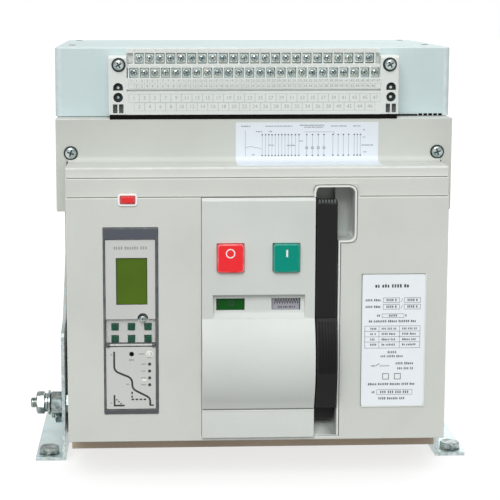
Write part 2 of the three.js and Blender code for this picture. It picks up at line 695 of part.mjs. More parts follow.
function auxiliarySwitch() {
  const s = SWITCH;
  const posts = [];
  for (let i = 0; i < s.posts; i += 1) {
    const left = s.firstPost + i * s.postPitch;
    posts.push(block([left, left + s.postWidth], [s.y[1] - 1, s.postTip], s.postZ));
  }
  return join(block(s.x, s.y, s.z), ...posts);
}

// ---------------------------------------------------------------- frame and feet

function bottomTray() {
  const t = TRAY;
  const back = BASE.front - GAP;
  return prism('x', [
    [t.front, t.bottom], [back, t.bottom], [back, t.bottom + t.thick], [t.front + 3, t.bottom + t.thick],
    [t.front + 3, t.bottom + t.lip], [t.front, t.bottom + t.lip],
  ], [-t.half, t.half]);
}

function sidePlate(side) {
  const p = PLATE;
  const web = [
    [p.front, FLOOR], [p.back, FLOOR], [p.back, p.top], [180, p.top], [110, 137], [p.front + 3, 131],
    [p.front, 128],
  ];
  const span = (from, to) => (side > 0 ? [from, to] : [-to, -from]);
  const plate = join(
    prism('x', web, span(p.outer - p.thick, p.outer)),
    block(span(p.outer - 1, FOOT_SPAN / 2), [p.front, p.back], [FLOOR, FLOOR + p.thick]),
  );
  return cut(
    plate,
    rod('x', [GROUND.y, GROUND.z], GROUND.radius + 0.4, span(p.outer - 10, p.outer + 10), 16),
    ...[FOOT_BOLT.y, p.back - 14].map((y) => rod('z', [side * FOOT_BOLT.x, y], FOOT_BOLT.radius + 0.6,
      [FLOOR - 1, FLOOR + p.thick + 1], 16)),
  );
}

function groundBolt() {
  const centre = [GROUND.y, GROUND.z];
  const inner = PLATE.outer - PLATE.thick - GAP;
  return join(
    rod('x', centre, GROUND.radius, [-GROUND.tip, -inner + 1], 16),
    hexagon('x', centre, GROUND.flats - 2, [-inner, -inner + 6]),
  );
}

function groundNut(from, to) {
  const centre = [GROUND.y, GROUND.z];
  return cut(
    hexagon('x', centre, GROUND.flats, [from, to]),
    rod('x', centre, GROUND.radius + 0.3, [from - 1, to + 1], 16),
  );
}

function footBolt(side) {
  const centre = [side * FOOT_BOLT.x, FOOT_BOLT.y];
  const seat = FLOOR + PLATE.thick + GAP;
  return join(
    hexagon('z', centre, FOOT_BOLT.flats, [seat, seat + FOOT_BOLT.head]),
    rod('z', centre, FOOT_BOLT.radius, [FLOOR + GAP, seat + 1], 16),
  );
}

// ---------------------------------------------------------------- assembly

function covers() {
  const group = new THREE.Group();
  addPart(group, 'front_cover', frontCover(), FINISH.cover());
  addPart(group, 'arc_cover', arcCover(), FINISH.cover());
  addPart(group, 'hood', hood(), FINISH.hood());
  addPart(group, 'terminal_block', terminalBlock(), FINISH.block());
  addPart(group, 'rating_plate', ratingPlate(), FINISH.paper());
  addPart(group, 'cover_screw_left', coverScrew(-1), FINISH.zinc());
  addPart(group, 'cover_screw_right', coverScrew(1), FINISH.zinc());
  addPart(group, 'fault_reset_button', faultResetButton(), FINISH.red());
  return group;
}

function operatingPanel() {
  const group = new THREE.Group();
  addPart(group, 'mechanism_panel', mechanismPanel(), FINISH.panel());
  addPart(group, 'off_button', pushButton(BUTTON.offX), FINISH.red());
  addPart(group, 'on_button', pushButton(BUTTON.onX), FINISH.green());
  addPart(group, 'contact_indicator', indicatorFlag(WINDOWS.contact), FINISH.green());
  addPart(group, 'charge_indicator', indicatorFlag(WINDOWS.charge), FINISH.trim());
  addPart(group, 'handle_well', handleWell(), FINISH.well());
  addPart(group, 'charging_handle', chargingHandle(), FINISH.black());
  return group;
}

function tripUnit() {
  const group = new THREE.Group();
  addPart(group, 'trip_unit_housing', tripUnitHousing(), FINISH.bezel());
  addPart(group, 'trip_unit_display_panel', displayPanel(), FINISH.trim());
  addPart(group, 'trip_unit_curve_panel', curvePanel(), FINISH.trim());
  addPart(group, 'lcd_screen', lcdScreen(), FINISH.screen());
  addPart(group, 'keypad_cover', keypadCover(), FINISH.clear());
  addPart(group, 'keypad_cover_screw', keypadCoverScrew(), FINISH.zinc());
  addPart(group, 'trip_reset_button', tripResetButton(), FINISH.block());
  KEYS.zs.forEach((z, row) => KEYS.xs.forEach((x, column) => {
    const key = addPart(group, `trip_key_${row * KEYS.xs.length + column + 1}`, tripKey(), FINISH.key());
    key.position.set(x, 0, z);
  }));
  return group;
}

function pole(index) {
  const group = new THREE.Group();
  const number = index + 1;
  addPart(group, `upper_terminal_${number}`, upperTerminal(), FINISH.copper());
  addPart(group, `lower_terminal_${number}`, lowerTerminal(), FINISH.copper());
  addPart(group, `moving_contact_${number}`, movingContact(), FINISH.copper());
  addPart(group, `drive_link_${number}`, driveLink(), FINISH.base());
  addPart(group, `arc_chute_${number}`, arcChute(), FINISH.steel());
  group.position.x = poleX(index);
  return group;
}

function mechanism() {
  const group = new THREE.Group();
  addPart(group, 'main_shaft', mainShaft(), FINISH.steel());
  addPart(group, 'charging_shaft', chargingShaft(), FINISH.steel());
  addPart(group, 'closing_spring', closingSpring(), FINISH.steel());
  addPart(group, 'spring_plunger', springPlunger(), FINISH.steel());
  addPart(group, 'shunt_release', solenoid(BUTTON.offX - 1), FINISH.black());
  addPart(group, 'closing_coil', solenoid(BUTTON.onX), FINISH.black());
  addPart(group, 'spring_motor', springMotor(), FINISH.steel());
  addPart(group, 'auxiliary_switch', auxiliarySwitch(), FINISH.block());
  return group;
}

function frameAndFeet() {
  const group = new THREE.Group();
  addPart(group, 'base_housing', baseHousing(), FINISH.base());
  addPart(group, 'bottom_tray', bottomTray(), FINISH.base());
  addPart(group, 'side_plate_left', sidePlate(-1), FINISH.steel());
  addPart(group, 'side_plate_right', sidePlate(1), FINISH.steel());
  addPart(group, 'foot_bolt_left', footBolt(-1), FINISH.zinc());
  addPart(group, 'foot_bolt_right', footBolt(1), FINISH.zinc());
  addPart(group, 'ground_bolt', groundBolt(), FINISH.zinc());
  addPart(group, 'ground_nut_inner', groundNut(-196.5, -PLATE.outer - GAP), FINISH.zinc());
  addPart(group, 'ground_nut_outer', groundNut(-210.4, -201.8), FINISH.zinc());
  return group;
}

const breaker = new THREE.Group();
breaker.add(frameAndFeet(), covers(), operatingPanel(), tripUnit(), mechanism());
for (let i = 0; i < POLES; i += 1) breaker.add(pole(i));

const extent = new THREE.Box3().setFromObject(breaker);
const centre = extent.getCenter(new THREE.Vector3());
breaker.position.set(-centre.x, -centre.y, -extent.min.z);

export default breaker;
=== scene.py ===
"""Looks of a fixed three-pole air circuit breaker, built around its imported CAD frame.

Shapes are worked out in millimetres, in a frame whose origin is the middle of the front cover's
face at floor level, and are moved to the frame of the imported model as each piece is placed.
"""

import json
import math

import bmesh
import bpy
from mathutils import Matrix, Vector


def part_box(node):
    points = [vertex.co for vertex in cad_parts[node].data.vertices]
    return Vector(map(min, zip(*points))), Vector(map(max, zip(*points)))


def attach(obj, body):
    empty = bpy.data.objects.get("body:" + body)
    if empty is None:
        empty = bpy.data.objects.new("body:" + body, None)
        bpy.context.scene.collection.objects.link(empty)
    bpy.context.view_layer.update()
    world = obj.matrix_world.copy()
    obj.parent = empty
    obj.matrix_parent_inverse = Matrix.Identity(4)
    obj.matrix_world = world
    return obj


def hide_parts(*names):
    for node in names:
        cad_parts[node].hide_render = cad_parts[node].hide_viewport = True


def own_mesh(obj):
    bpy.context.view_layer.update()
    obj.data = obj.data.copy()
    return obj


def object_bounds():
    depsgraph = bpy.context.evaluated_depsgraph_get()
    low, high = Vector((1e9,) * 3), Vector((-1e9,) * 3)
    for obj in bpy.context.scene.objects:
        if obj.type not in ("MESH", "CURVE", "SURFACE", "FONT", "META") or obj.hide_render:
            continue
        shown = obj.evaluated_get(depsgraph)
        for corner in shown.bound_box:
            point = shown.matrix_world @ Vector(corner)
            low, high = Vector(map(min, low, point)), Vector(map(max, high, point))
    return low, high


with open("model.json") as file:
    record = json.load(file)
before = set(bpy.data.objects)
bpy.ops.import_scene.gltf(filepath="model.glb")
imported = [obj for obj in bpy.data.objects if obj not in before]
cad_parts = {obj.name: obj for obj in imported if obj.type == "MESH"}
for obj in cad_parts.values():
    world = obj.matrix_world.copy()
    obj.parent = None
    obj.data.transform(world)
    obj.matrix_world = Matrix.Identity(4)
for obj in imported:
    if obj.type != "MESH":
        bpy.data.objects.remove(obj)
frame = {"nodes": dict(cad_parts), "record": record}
cad_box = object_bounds()

MM = 0.001
COVER_BOTTOM = 45.4
FACE_LOW, FACE_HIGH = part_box("front_cover")
ORIGIN = Vector(((FACE_LOW.x + FACE_HIGH.x) / 2, FACE_LOW.y, FACE_LOW.z - COVER_BOTTOM * MM))
TO_ROW = Matrix.Translation(ORIGIN) @ Matrix.Scale(MM, 4)

BODY_OF = {}
for body_name, members in frame["record"]["behaviour"]["bodies"].items():
    for member in members:
        BODY_OF[member] = body_name
SLOT_OF = {row["node"]: row["material_slot"] for row in frame["record"]["subparts"]}

INK_THICK = 0.12
FIXED_BODY = "frame"
SHARP_ANGLE = 38  # degrees; edges between flatter faces are shaded smooth


# ---------------------------------------------------------------- camera, floor and light


def make_camera():
    """The camera stands in front, a little above, and looks slightly down and to the right."""
    lens = bpy.data.cameras.new("camera")
    lens.sensor_width = 36
    lens.lens = 105.1
    lens.shift_x = 0.08
    lens.shift_y = -0.1
    camera = bpy.data.objects.new("camera", lens)
    camera.location = (-0.094, -1.4623, 0.45)
    yaw, pitch = 0.0403, 0.1391
    camera.rotation_euler = (math.pi / 2 - pitch, 0, -yaw)
    bpy.context.scene.collection.objects.link(camera)
    bpy.context.scene.camera = camera


def make_world():
    """An even studio: bright overhead, white round the horizon and dim below it."""
    world = bpy.data.worlds.new("studio")
    world.use_nodes = True
    tree = world.node_tree
    background = tree.nodes["Background"]
    coords = tree.nodes.new("ShaderNodeTexCoord")
    split = tree.nodes.new("ShaderNodeSeparateXYZ")
    ramp = tree.nodes.new("ShaderNodeValToRGB")
    height = tree.nodes.new("ShaderNodeMapRange")
    height.inputs["From Min"].default_value = -1
    tree.links.new(coords.outputs["Generated"], split.inputs[0])
    tree.links.new(split.outputs["Z"], height.inputs["Value"])
    tree.links.new(height.outputs["Result"], ramp.inputs["Fac"])
    tree.links.new(ramp.outputs["Color"], background.inputs["Color"])
    stops = [(0.0, 0.14), (0.43, 0.2), (0.47, 1.0), (0.55, 1.0), (0.62, 0.56), (1.0, 0.74)]
    while len(ramp.color_ramp.elements) < len(stops):
        ramp.color_ramp.elements.new(0.5)
    for element, (place, level) in zip(ramp.color_ramp.elements, stops):
        warmth = 0.9 if place < 0.45 else 1.0
        element.position = place
        element.color = (level, level * (1 + warmth) / 2, level * warmth, 1)
    bpy.context.scene.world = world
    bpy.context.scene.view_settings.view_transform = "Standard"


def make_sun(name, source, angle, strength):
    """A broad, distant light that shines from a direction."""
    lamp = bpy.data.lights.new(name, "SUN")
    lamp.angle = math.radians(angle)
    lamp.energy = strength
    holder = bpy.data.objects.new(name, lamp)
    holder.rotation_euler = Vector(source).to_track_quat("Z", "Y").to_euler()
    bpy.context.scene.collection.objects.link(holder)


def make_floor():
    """A translucent white table lit from below, so the ground stays white."""
    bm = bmesh.new()
    bmesh.ops.create_circle(bm, cap_ends=True, radius=14, segments=96)
    mesh = bpy.data.meshes.new("floor")
    bm.to_mesh(mesh)
    bm.free()
    floor = bpy.data.objects.new("floor", mesh)
    floor.location.z = cad_box[0].z - 0.0002
    finish = Finish("floor_paper")
    finish.shader.inputs["Base Color"].default_value = (0.3, 0.3, 0.3, 1)
    finish.shader.inputs["Emission Color"].default_value = (1, 1, 1, 1)
    finish.shader.inputs["Emission Strength"].default_value = 0.74
    finish.shader.inputs["Roughness"].default_value = 0.9
    finish.shader.inputs["Specular IOR Level"].default_value = 0.1
    mesh.materials.append(finish.material)
    bpy.context.scene.collection.objects.link(floor)
    floor.visible_diffuse = False


# ---------------------------------------------------------------- materials


def linear(colour, gain=1.0):
    """Scene-linear value of an 8-bit display colour."""
    steps = []
    for value in colour:
        value = value / 255
        value = value / 12.92 if value <= 0.04045 else ((value + 0.055) / 1.055) ** 2.4
        steps.append(min(value * gain, 0.92))
    return (*steps, 1.0)


class Finish:
    """A procedural material in the making; its textures are laid out in metres on the object."""

    def __init__(self, name):
        self.material = bpy.data.materials.new(name)
        self.material.use_nodes = True
        self.tree = self.material.node_tree
        self.shader = self.tree.nodes["Principled BSDF"]
        self.coords = self.add("ShaderNodeTexCoord").outputs["Object"]

    def add(self, kind, **settings):
        node = self.tree.nodes.new(kind)
        for key, value in settings.items():
            setattr(node, key, value)
        return node

    def link(self, source, target):
        self.tree.links.new(source, target)

    def noise(self, size_mm, detail=2.0, stretch=(1, 1, 1)):
        """Noise whose blobs are about size_mm across, stretched along an axis if wanted."""
        mapping = self.add("ShaderNodeMapping")
        mapping.inputs["Scale"].default_value = stretch
        noise = self.add("ShaderNodeTexNoise")
        noise.inputs["Scale"].default_value = 1 / (size_mm * MM)
        noise.inputs["Detail"].default_value = detail
        self.link(self.coords, mapping.inputs["Vector"])
        self.link(mapping.outputs["Vector"], noise.inputs["Vector"])
        return noise.outputs["Fac"]

    def remap(self, value, low, high, start=0.3, end=0.7):
        node = self.add("ShaderNodeMapRange")
        node.inputs["From Min"].default_value = start
        node.inputs["From Max"].default_value = end
        node.inputs["To Min"].default_value = low
        node.inputs["To Max"].default_value = high
        self.link(value, node.inputs["Value"])
        return node.outputs["Result"]

    def multiply(self, first, second):
        node = self.add("ShaderNodeMath", operation="MULTIPLY")
        self.link(first, node.inputs[0])
        self.link(second, node.inputs[1])
        return node.outputs["Value"]

    def mix(self, factor, first, second):
        """Mix of two colours, each a socket or a fixed colour."""
        node = self.add("ShaderNodeMix", data_type="RGBA")
        self.link(factor, node.inputs[0])
        for socket, colour in ((node.inputs[6], first), (node.inputs[7], second)):
            if isinstance(colour, tuple):
                socket.default_value = colour
            else:
                self.link(colour, socket)
        return node.outputs[2]

    def tint(self, first, second):
        """Product of two colour sockets."""
        node = self.add("ShaderNodeMix", data_type="RGBA", blend_type="MULTIPLY")
        node.inputs[0].default_value = 1.0
        self.link(first, node.inputs[6])
        self.link(second, node.inputs[7])
        return node.outputs[2]

    def edge(self):
        """1 on the rounded edges of a piece and 0 elsewhere."""
        return self.add("ShaderNodeAttribute", attribute_name="edge").outputs["Fac"]

    def bump(self, height, depth_mm, strength=1.0):
        node = self.add("ShaderNodeBump")
        node.inputs["Strength"].default_value = strength
        node.inputs["Distance"].default_value = depth_mm * MM
        self.link(height, node.inputs["Height"])
        self.link(node.outputs["Normal"], self.shader.inputs["Normal"])


def shade(colour, factor):
    return (*(channel * factor for channel in colour[:3]), 1.0)


def moulding(name, colour, roughness=0.5, grain=0.03, soil=0.05, rub=0.35, gloss=0.4):
    """Moulded plastic: eroded-tool grain, faint clouding, and edges rubbed paler."""
    finish = Finish(name)
    clouds = finish.remap(finish.noise(70, 3), 0, 1)
    flecks = finish.remap(finish.noise(2.2, 2), 0, 1)
    body = finish.mix(clouds, shade(colour, 1 - soil), shade(colour, 1 + soil * 0.4))
    body = finish.mix(finish.multiply(flecks, clouds), body, shade(colour, 1 + soil * 0.6))
    rubbed = finish.multiply(finish.edge(), finish.remap(finish.noise(9, 3), 0, rub))
    pale = tuple(channel + (1 - channel) * 0.55 for channel in colour[:3]) + (1.0,)
    finish.link(finish.mix(rubbed, body, pale), finish.shader.inputs["Base Color"])
    finish.link(finish.remap(finish.noise(14, 3), roughness - 0.06, roughness + 0.06),
                finish.shader.inputs["Roughness"])
    finish.bump(finish.noise(0.7, 2), grain, 0.6)
    finish.shader.inputs["Specular IOR Level"].default_value = gloss
    return finish.material


def plated(name, colour, roughness=0.3, brush=(1, 1, 1), grain=0.012, tint=(150, 160, 150), patch=12,
           cut=0.8):
    """Zinc-plated or machined metal: cloudy plating, fine drawn lines and dull edges."""
    finish = Finish(name)
    clouds = finish.remap(finish.noise(patch, 3), 0, 0.8)
    sheen = finish.mix(finish.remap(finish.noise(5, 1), 0, 1), (1.0, 0.95, 0.86, 1), (0.88, 0.97, 1.0, 1))
    body = finish.tint(finish.mix(clouds, colour, linear(tint)), sheen)
    dulled = finish.multiply(finish.edge(), finish.remap(finish.noise(3, 2), 0.2, 0.8))
    finish.link(finish.mix(dulled, body, shade(colour, cut)), finish.shader.inputs["Base Color"])
    finish.shader.inputs["Metallic"].default_value = 1.0
    finish.link(finish.remap(finish.noise(4, 3, brush), roughness - 0.08, roughness + 0.12),
                finish.shader.inputs["Roughness"])
    finish.bump(finish.noise(0.9, 3, brush), grain, 0.5)
    return finish.material


def printed(name, colour):
    """Ink or printed film: nearly even, with a faint break-up of the pigment."""
    finish = Finish(name)
    body = finish.mix(finish.remap(finish.noise(0.8, 2), 0, 1), shade(colour, 0.9), colour)
    finish.link(body, finish.shader.inputs["Base Color"])
    finish.link(finish.remap(finish.noise(5, 2), 0.45 - 0.05, 0.45 + 0.05), finish.shader.inputs["Roughness"])
    return finish.material


def display_glass(name, colour):
    """Reflective liquid-crystal display: a fine dot grid under clear glass."""
    finish = Finish(name)
    dots = finish.add("ShaderNodeTexChecker")
    dots.inputs["Scale"].default_value = 1 / (0.9 * MM)
    dots.inputs["Color1"].default_value = shade(colour, 0.96)
    dots.inputs["Color2"].default_value = shade(colour, 1.04)
    finish.link(finish.coords, dots.inputs["Vector"])
    clouds = finish.remap(finish.noise(30, 2), 0, 0.5)
    finish.link(finish.mix(clouds, dots.outputs["Color"], shade(colour, 1.2)),
                finish.shader.inputs["Base Color"])
    finish.link(finish.remap(finish.noise(20, 2), 0.3, 0.4), finish.shader.inputs["Roughness"])
    finish.shader.inputs["Specular IOR Level"].default_value = 0.15
    return finish.material


def clear_sheet(name):
    """Clear polycarbonate with a light scuffing."""
    finish = Finish(name)
    scuffs = finish.remap(finish.noise(6, 4, (1, 1, 0.2)), 0.05, 0.14)
    finish.link(scuffs, finish.shader.inputs["Roughness"])
    finish.shader.inputs["Base Color"].default_value = (0.3, 0.34, 0.34, 1)
    finish.shader.inputs["Alpha"].default_value = 0.02
    return finish.material


FRONT_LIGHT = 0.92
FINISHES = {}


def front(colour):
    """Base colour of a face that shows this display colour on the front of the breaker."""
    return linear(colour, 1 / FRONT_LIGHT)


def make_finishes():
    FINISHES.update({
        "cover": moulding("cover_grey", front((198, 202, 196)), 0.52),
        "arc": moulding("arc_cover_grey", front((187, 191, 185)), 0.52),
        "panel": moulding("panel_grey", front((199, 204, 200)), 0.48),
        "hood": moulding("hood_blue_grey", front((189, 205, 206)), 0.46, rub=0.5),
        "block": moulding("block_off_white", front((209, 214, 211)), 0.5),
        # block_line: a little darker than the block, painted shade in the fine grooves round the cells and
        # strips.
        "block_line": moulding("block_line", front((176, 184, 180)), 0.6),
        # rim: pale grey, used as a painted highlight on the slot bead, the panel's lip and the rating plate's
        # lower edge, and for the trip unit's reset button.
        "rim": moulding("rim_pale_grey", front((221, 226, 221)), 0.42),
        "reset_frame": moulding("reset_frame", front((238, 236, 234)), 0.42),
        "well": moulding("well_grey", front((186, 192, 187)), 0.5),
        "base": moulding("base_brown", linear((118, 92, 78)), 0.62, grain=0.06, soil=0.2),
        "tray": moulding("tray_brown", linear((200, 182, 160)), 0.6, soil=0.12),
        "black": moulding("handle_black", linear((22, 21, 22)), 0.5, grain=0.05, soil=0.1,
                          rub=0.04, gloss=0.2),
        "grip": moulding("grip_black", linear((24, 23, 24)), 0.5, grain=0.05, soil=0.1,
                         rub=0.05, gloss=0.1),
        # dark: a dark insert colour, also used as painted shade round the cover screw heads, round the
        # display and in the lid screw's recess.
        "dark": moulding("dark_insert", linear((30, 40, 38)), 0.55, rub=0.1, gloss=0.3),
        # groove: a dark grey for painted shade in inner corners, under the panel's bulge, outside the slot
        # bead and along the rating plate's upper edge.
        "groove": moulding("groove_shadow", linear((120, 122, 116)), 0.7, rub=0.02, gloss=0.1),
        # louvre: grey slats in the end caps, painted shade under the clamp plates and a painted highlight on
        # the handle's teeth.
        "louvre": moulding("louvre_grey", linear((96, 102, 98)), 0.6, rub=0.05, gloss=0.2),
        # Dark floors of screw recesses: painted shade where the recesses lie in shadow.
        "soot": printed("recess_soot", linear((34, 42, 46))),
        # seal: black; painted shade in the gap under the terminal block and in the vents, and the test port's
        # socket.
        "seal": moulding("seal_black", linear((14, 11, 10)), 0.8, rub=0.02, gloss=0.1),
        "bezel": moulding("bezel_slate", linear((74, 78, 81)), 0.42, rub=0.2),
        "crown": moulding("crown_slate", linear((74, 79, 88)), 0.36, rub=0.2),
        "face": moulding("trip_face_grey", front((193, 195, 192)), 0.5),
        "key": moulding("key_green", linear((2, 74, 52)), 0.5, rub=0.1, gloss=0.2),
        "red": moulding("button_red", linear((240, 38, 46)), 0.36, grain=0.01, rub=0.4, gloss=0.3),
        "green": moulding("button_green", linear((0, 142, 123)), 0.4, grain=0.01, rub=0.3, gloss=0.12),
        "reset_red": moulding("reset_red", linear((226, 50, 54)), 0.4, grain=0.01, gloss=0.2),
        "flag_green": moulding("flag_green", linear((0, 80, 16)), 0.4, grain=0.01, gloss=0.15),
        "flag_red": moulding("flag_red", linear((190, 40, 40)), 0.35, grain=0.01),
        "flag_grey": moulding("flag_grey", linear((156, 156, 165)), 0.4, grain=0.01),
        "label": moulding("label_film", front((209, 216, 222)), 0.34, grain=0.004, soil=0.02),
        "plate": moulding("plate_film", front((227, 233, 238)), 0.38, grain=0.004, soil=0.02),
        "ink": printed("ink_black", linear((36, 37, 38))),
        "ink_soft": printed("ink_grey", linear((84, 88, 96))),
        "ink_faint": printed("ink_faint", linear((150, 156, 156))),
        "ink_pale": printed("ink_pale", linear((168, 174, 172))),
        "ink_white": printed("ink_white", linear((244, 244, 240))),
        "lcd": display_glass("lcd_olive", linear((74, 102, 22))),
        "clear": clear_sheet("clear_lid"),
        "zinc": plated("zinc_bolt", linear((196, 204, 202)), 0.2, tint=(64, 78, 84), patch=6),
        "chrome": plated("screw_plated", linear((204, 215, 216)), 0.24, tint=(112, 128, 132), patch=5),
        "clamp": plated("clamp_plate", linear((222, 230, 228)), 0.42, tint=(184, 194, 190)),
        "sheet": plated("zinc_sheet", linear((232, 242, 244)), 0.5, brush=(1, 1, 0.15),
                        tint=(212, 226, 229), patch=26, cut=0.4),
        "steel": plated("machined_steel", linear((168, 170, 172)), 0.32, brush=(0.2, 1, 1)),
        "copper": plated("copper_bar", linear((206, 146, 108)), 0.3, brush=(0.2, 1, 1),
                         tint=(158, 96, 62)),
        "insulator": moulding("link_insulator", linear((126, 96, 74)), 0.55, soil=0.2),
        "chute": plated("chute_plate", linear((120, 122, 124)), 0.5, tint=(92, 90, 88)),
    })


# ---------------------------------------------------------------- solids


def limits(node):
    """Lowest and highest corner of a CAD node, in millimetres."""
    low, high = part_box(node)
    return (low - ORIGIN) / MM, (high - ORIGIN) / MM


def add_box(bm, x, y, z, bevel=0.0):
    """Box between two values on each axis, with rounded edges if bevel is given."""
    size = Vector((x[1] - x[0], y[1] - y[0], z[1] - z[0]))
    centre = Vector(((x[0] + x[1]) / 2, (y[0] + y[1]) / 2, (z[0] + z[1]) / 2))
    place = Matrix.Translation(centre) @ Matrix.Diagonal((*size, 1))
    made = bmesh.ops.create_cube(bm, size=1, matrix=place)
    if bevel:
        edges = {edge for vertex in made["verts"] for edge in vertex.link_edges}
        mark_edges(bm, list(edges), bevel)


def add_prism(bm, axis, outline, span):
    """Prism of an outline along an axis: (u, v) is (Y, Z) along x, (X, Z) along y, (X, Y) along z."""
    def point(u, v, w):
        return {"x": (w, u, v), "y": (u, w, v), "z": (u, v, w)}[axis]
    rings = [[bm.verts.new(point(u, v, w)) for u, v in outline] for w in span]
    count = len(outline)
    bm.faces.new(rings[0][::-1])
    bm.faces.new(rings[1])
    for i in range(count):
        after = (i + 1) % count
        bm.faces.new((rings[0][i], rings[0][after], rings[1][after], rings[1][i]))


def add_turned(bm, profile, centre, direction, segments=24, reach=None):
    """Solid turned about a line: profile holds (radius, distance along direction).

    reach(angle, radius, distance) may change a radius, which makes a hexagon head of a disc.
    """
    turn = Vector(direction).to_track_quat("Z", "X").to_matrix().to_4x4()
    place = Matrix.Translation(Vector(centre)) @ turn
    rings = []
    for radius, along in profile:
        if radius == 0:
            rings.append([bm.verts.new(place @ Vector((0, 0, along)))])
            continue
        ring = []
        for i in range(segments):
            angle = 2 * math.pi * i / segments
            r = reach(angle, radius, along) if reach else radius
            ring.append(bm.verts.new(place @ Vector((r * math.cos(angle), r * math.sin(angle), along))))
        rings.append(ring)
    for lower, upper in zip(rings, rings[1:]):
        for i in range(segments):
            after = (i + 1) % segments
            if len(lower) == 1:
                bm.faces.new((lower[0], upper[after], upper[i]))
            elif len(upper) == 1:
                bm.faces.new((lower[i], lower[after], upper[0]))
            else:
                bm.faces.new((lower[i], lower[after], upper[after], upper[i]))


def rounded_corners(points, radius, steps=6, closed=False):
    """The points of a path with its corners rounded to a radius."""
    result = []
    count = len(points)
    for i, corner in enumerate(points):
        if not closed and i in (0, count - 1):
            result.append(Vector(corner))
            continue
        here, before, after = Vector(corner), Vector(points[i - 1]), Vector(points[(i + 1) % count])
        to_before, to_after = (before - here).normalized(), (after - here).normalized()
        half = to_before.angle(to_after) / 2
        reach = min(radius / math.tan(half), (before - here).length / 2, (after - here).length / 2)
        start, end = here + to_before * reach, here + to_after * reach
        for k in range(steps + 1):
            t = k / steps
            result.append(start * (1 - t) ** 2 + here * 2 * t * (1 - t) + end * t * t)
    return result


def add_stroke(bm, points, width, y, closed=False):
    """Flat raised line along a path in the X-Z plane, between two depths."""
    path = [Vector(p) for p in points]
    count = len(path)
    sides = ([], [])
    for i, here in enumerate(path):
        before = path[i - 1] if i or closed else here
        after = path[(i + 1) % count] if i < count - 1 or closed else here
        into, out = (here - before), (after - here)
        into = into.normalized() if into.length else out.normalized()
        out = out.normalized() if out.length else into
        bisector = (into + out).normalized()
        normal = Vector((-bisector.y, bisector.x))
        stretch = 1 / max(bisector.dot(into), 0.5)
        for side, sign in zip(sides, (1, -1)):
            p = here + normal * sign * stretch * width / 2
            side.append([bm.verts.new((p.x, depth, p.y)) for depth in y])
    last = count if closed else count - 1
    for i in range(last):
        j = (i + 1) % count
        (a0, a1), (b0, b1) = sides[0][i], sides[1][i]
        (c0, c1), (d0, d1) = sides[0][j], sides[1][j]
        for quad in ((a0, b0, d0, c0), (a1, c1, d1, b1), (a0, c0, c1, a1), (b0, b1, d1, d0)):
            bm.faces.new(quad)
    if not closed:
        for i in (0, count - 1):
            (a0, a1), (b0, b1) = sides[0][i], sides[1][i]
            bm.faces.new((a0, a1, b1, b0))


def mark_edges(bm, edges, width, segments=2):
    """Rounds edges and marks the new faces, which the materials rub paler."""
    layer = bm.faces.layers.float.get("edge") or bm.faces.layers.float.new("edge")
    made = bmesh.ops.bevel(bm, geom=edges, offset=width, segments=segments, profile=0.5,
                           affect="EDGES", clamp_overlap=False)
    for face in made["faces"]:
        face[layer] = 1.0


def round_edges(bm, width, angle=30, keep=None):
    """Rounds the convex edges sharper than an angle; keep(edge) may choose among them."""
    chosen = []
    for edge in bm.edges:
        if not edge.is_manifold or not edge.is_convex:
            continue
        if edge.calc_face_angle() > math.radians(angle) and (keep is None or keep(edge)):
            chosen.append(edge)
    if chosen:
        mark_edges(bm, chosen, width)


def cad_copy(node):
    """A CAD node's shape in millimetres, with its triangles merged into whole faces."""
    bm = bmesh.new()
    bm.from_mesh(frame["nodes"][node].data)
    bmesh.ops.remove_doubles(bm, verts=bm.verts, dist=1e-6)
    bmesh.ops.transform(bm, matrix=TO_ROW.inverted(), verts=bm.verts)
    bmesh.ops.dissolve_limit(bm, angle_limit=math.radians(0.6), verts=bm.verts, edges=bm.edges)
    bm.normal_update()
    return bm


def settled(bm):
    """Turns the faces of a solid outward and works out their directions."""
    bmesh.ops.recalc_face_normals(bm, faces=bm.faces)
    bm.normal_update()


def middle_of(low, high):
    """Middle of a node's box across its width and its height."""
    return (low.x + high.x) / 2, (low.z + high.z) / 2


def soft_block(x, y, z, axis, end, corner, rim):
    """Box with rounded edges along an axis, corner = (width, segments), and round the rim at one end."""
    bm = bmesh.new()
    add_box(bm, x, y, z)
    settled(bm)
    along = [edge for edge in bm.edges if abs(edge.verts[0].co[axis] - edge.verts[1].co[axis]) > 1]
    mark_edges(bm, along, *corner)
    bm.normal_update()
    around = [edge for edge in bm.edges if all(abs(vertex.co[axis] - end) < 0.01 for vertex in edge.verts)]
    mark_edges(bm, around, rim, 3)
    return bm


def plain_object(name, bm):
    mesh = bpy.data.meshes.new(name)
    bm.to_mesh(mesh)
    bm.free()
    made = bpy.data.objects.new(name, mesh)
    bpy.context.scene.collection.objects.link(made)
    return made


def carved(solid, tool):
    """solid with tool cut out of it; both are used up."""
    bmesh.ops.recalc_face_normals(tool, faces=tool.faces)
    bmesh.ops.recalc_face_normals(solid, faces=solid.faces)
    target, cutter = plain_object("carve_target", solid), plain_object("carve_tool", tool)
    cut = target.modifiers.new("cut", "BOOLEAN")
    cut.object = cutter
    cut.operation = "DIFFERENCE"
    cut.solver = "EXACT"
    cut.use_self = True
    result = bmesh.new()
    result.from_mesh(target.evaluated_get(bpy.context.evaluated_depsgraph_get()).to_mesh())
    for used in (target, cutter):
        mesh = used.data
        bpy.data.objects.remove(used)
        bpy.data.meshes.remove(mesh)
    result.normal_update()
    return result


def merged(target, source, matrix=None):
    """Adds a copy of source to target, moved by matrix."""
    mesh = bpy.data.meshes.new("merge")
    source.to_mesh(mesh)
    if matrix:
        mesh.transform(matrix)
    target.from_mesh(mesh)
    bpy.data.meshes.remove(mesh)


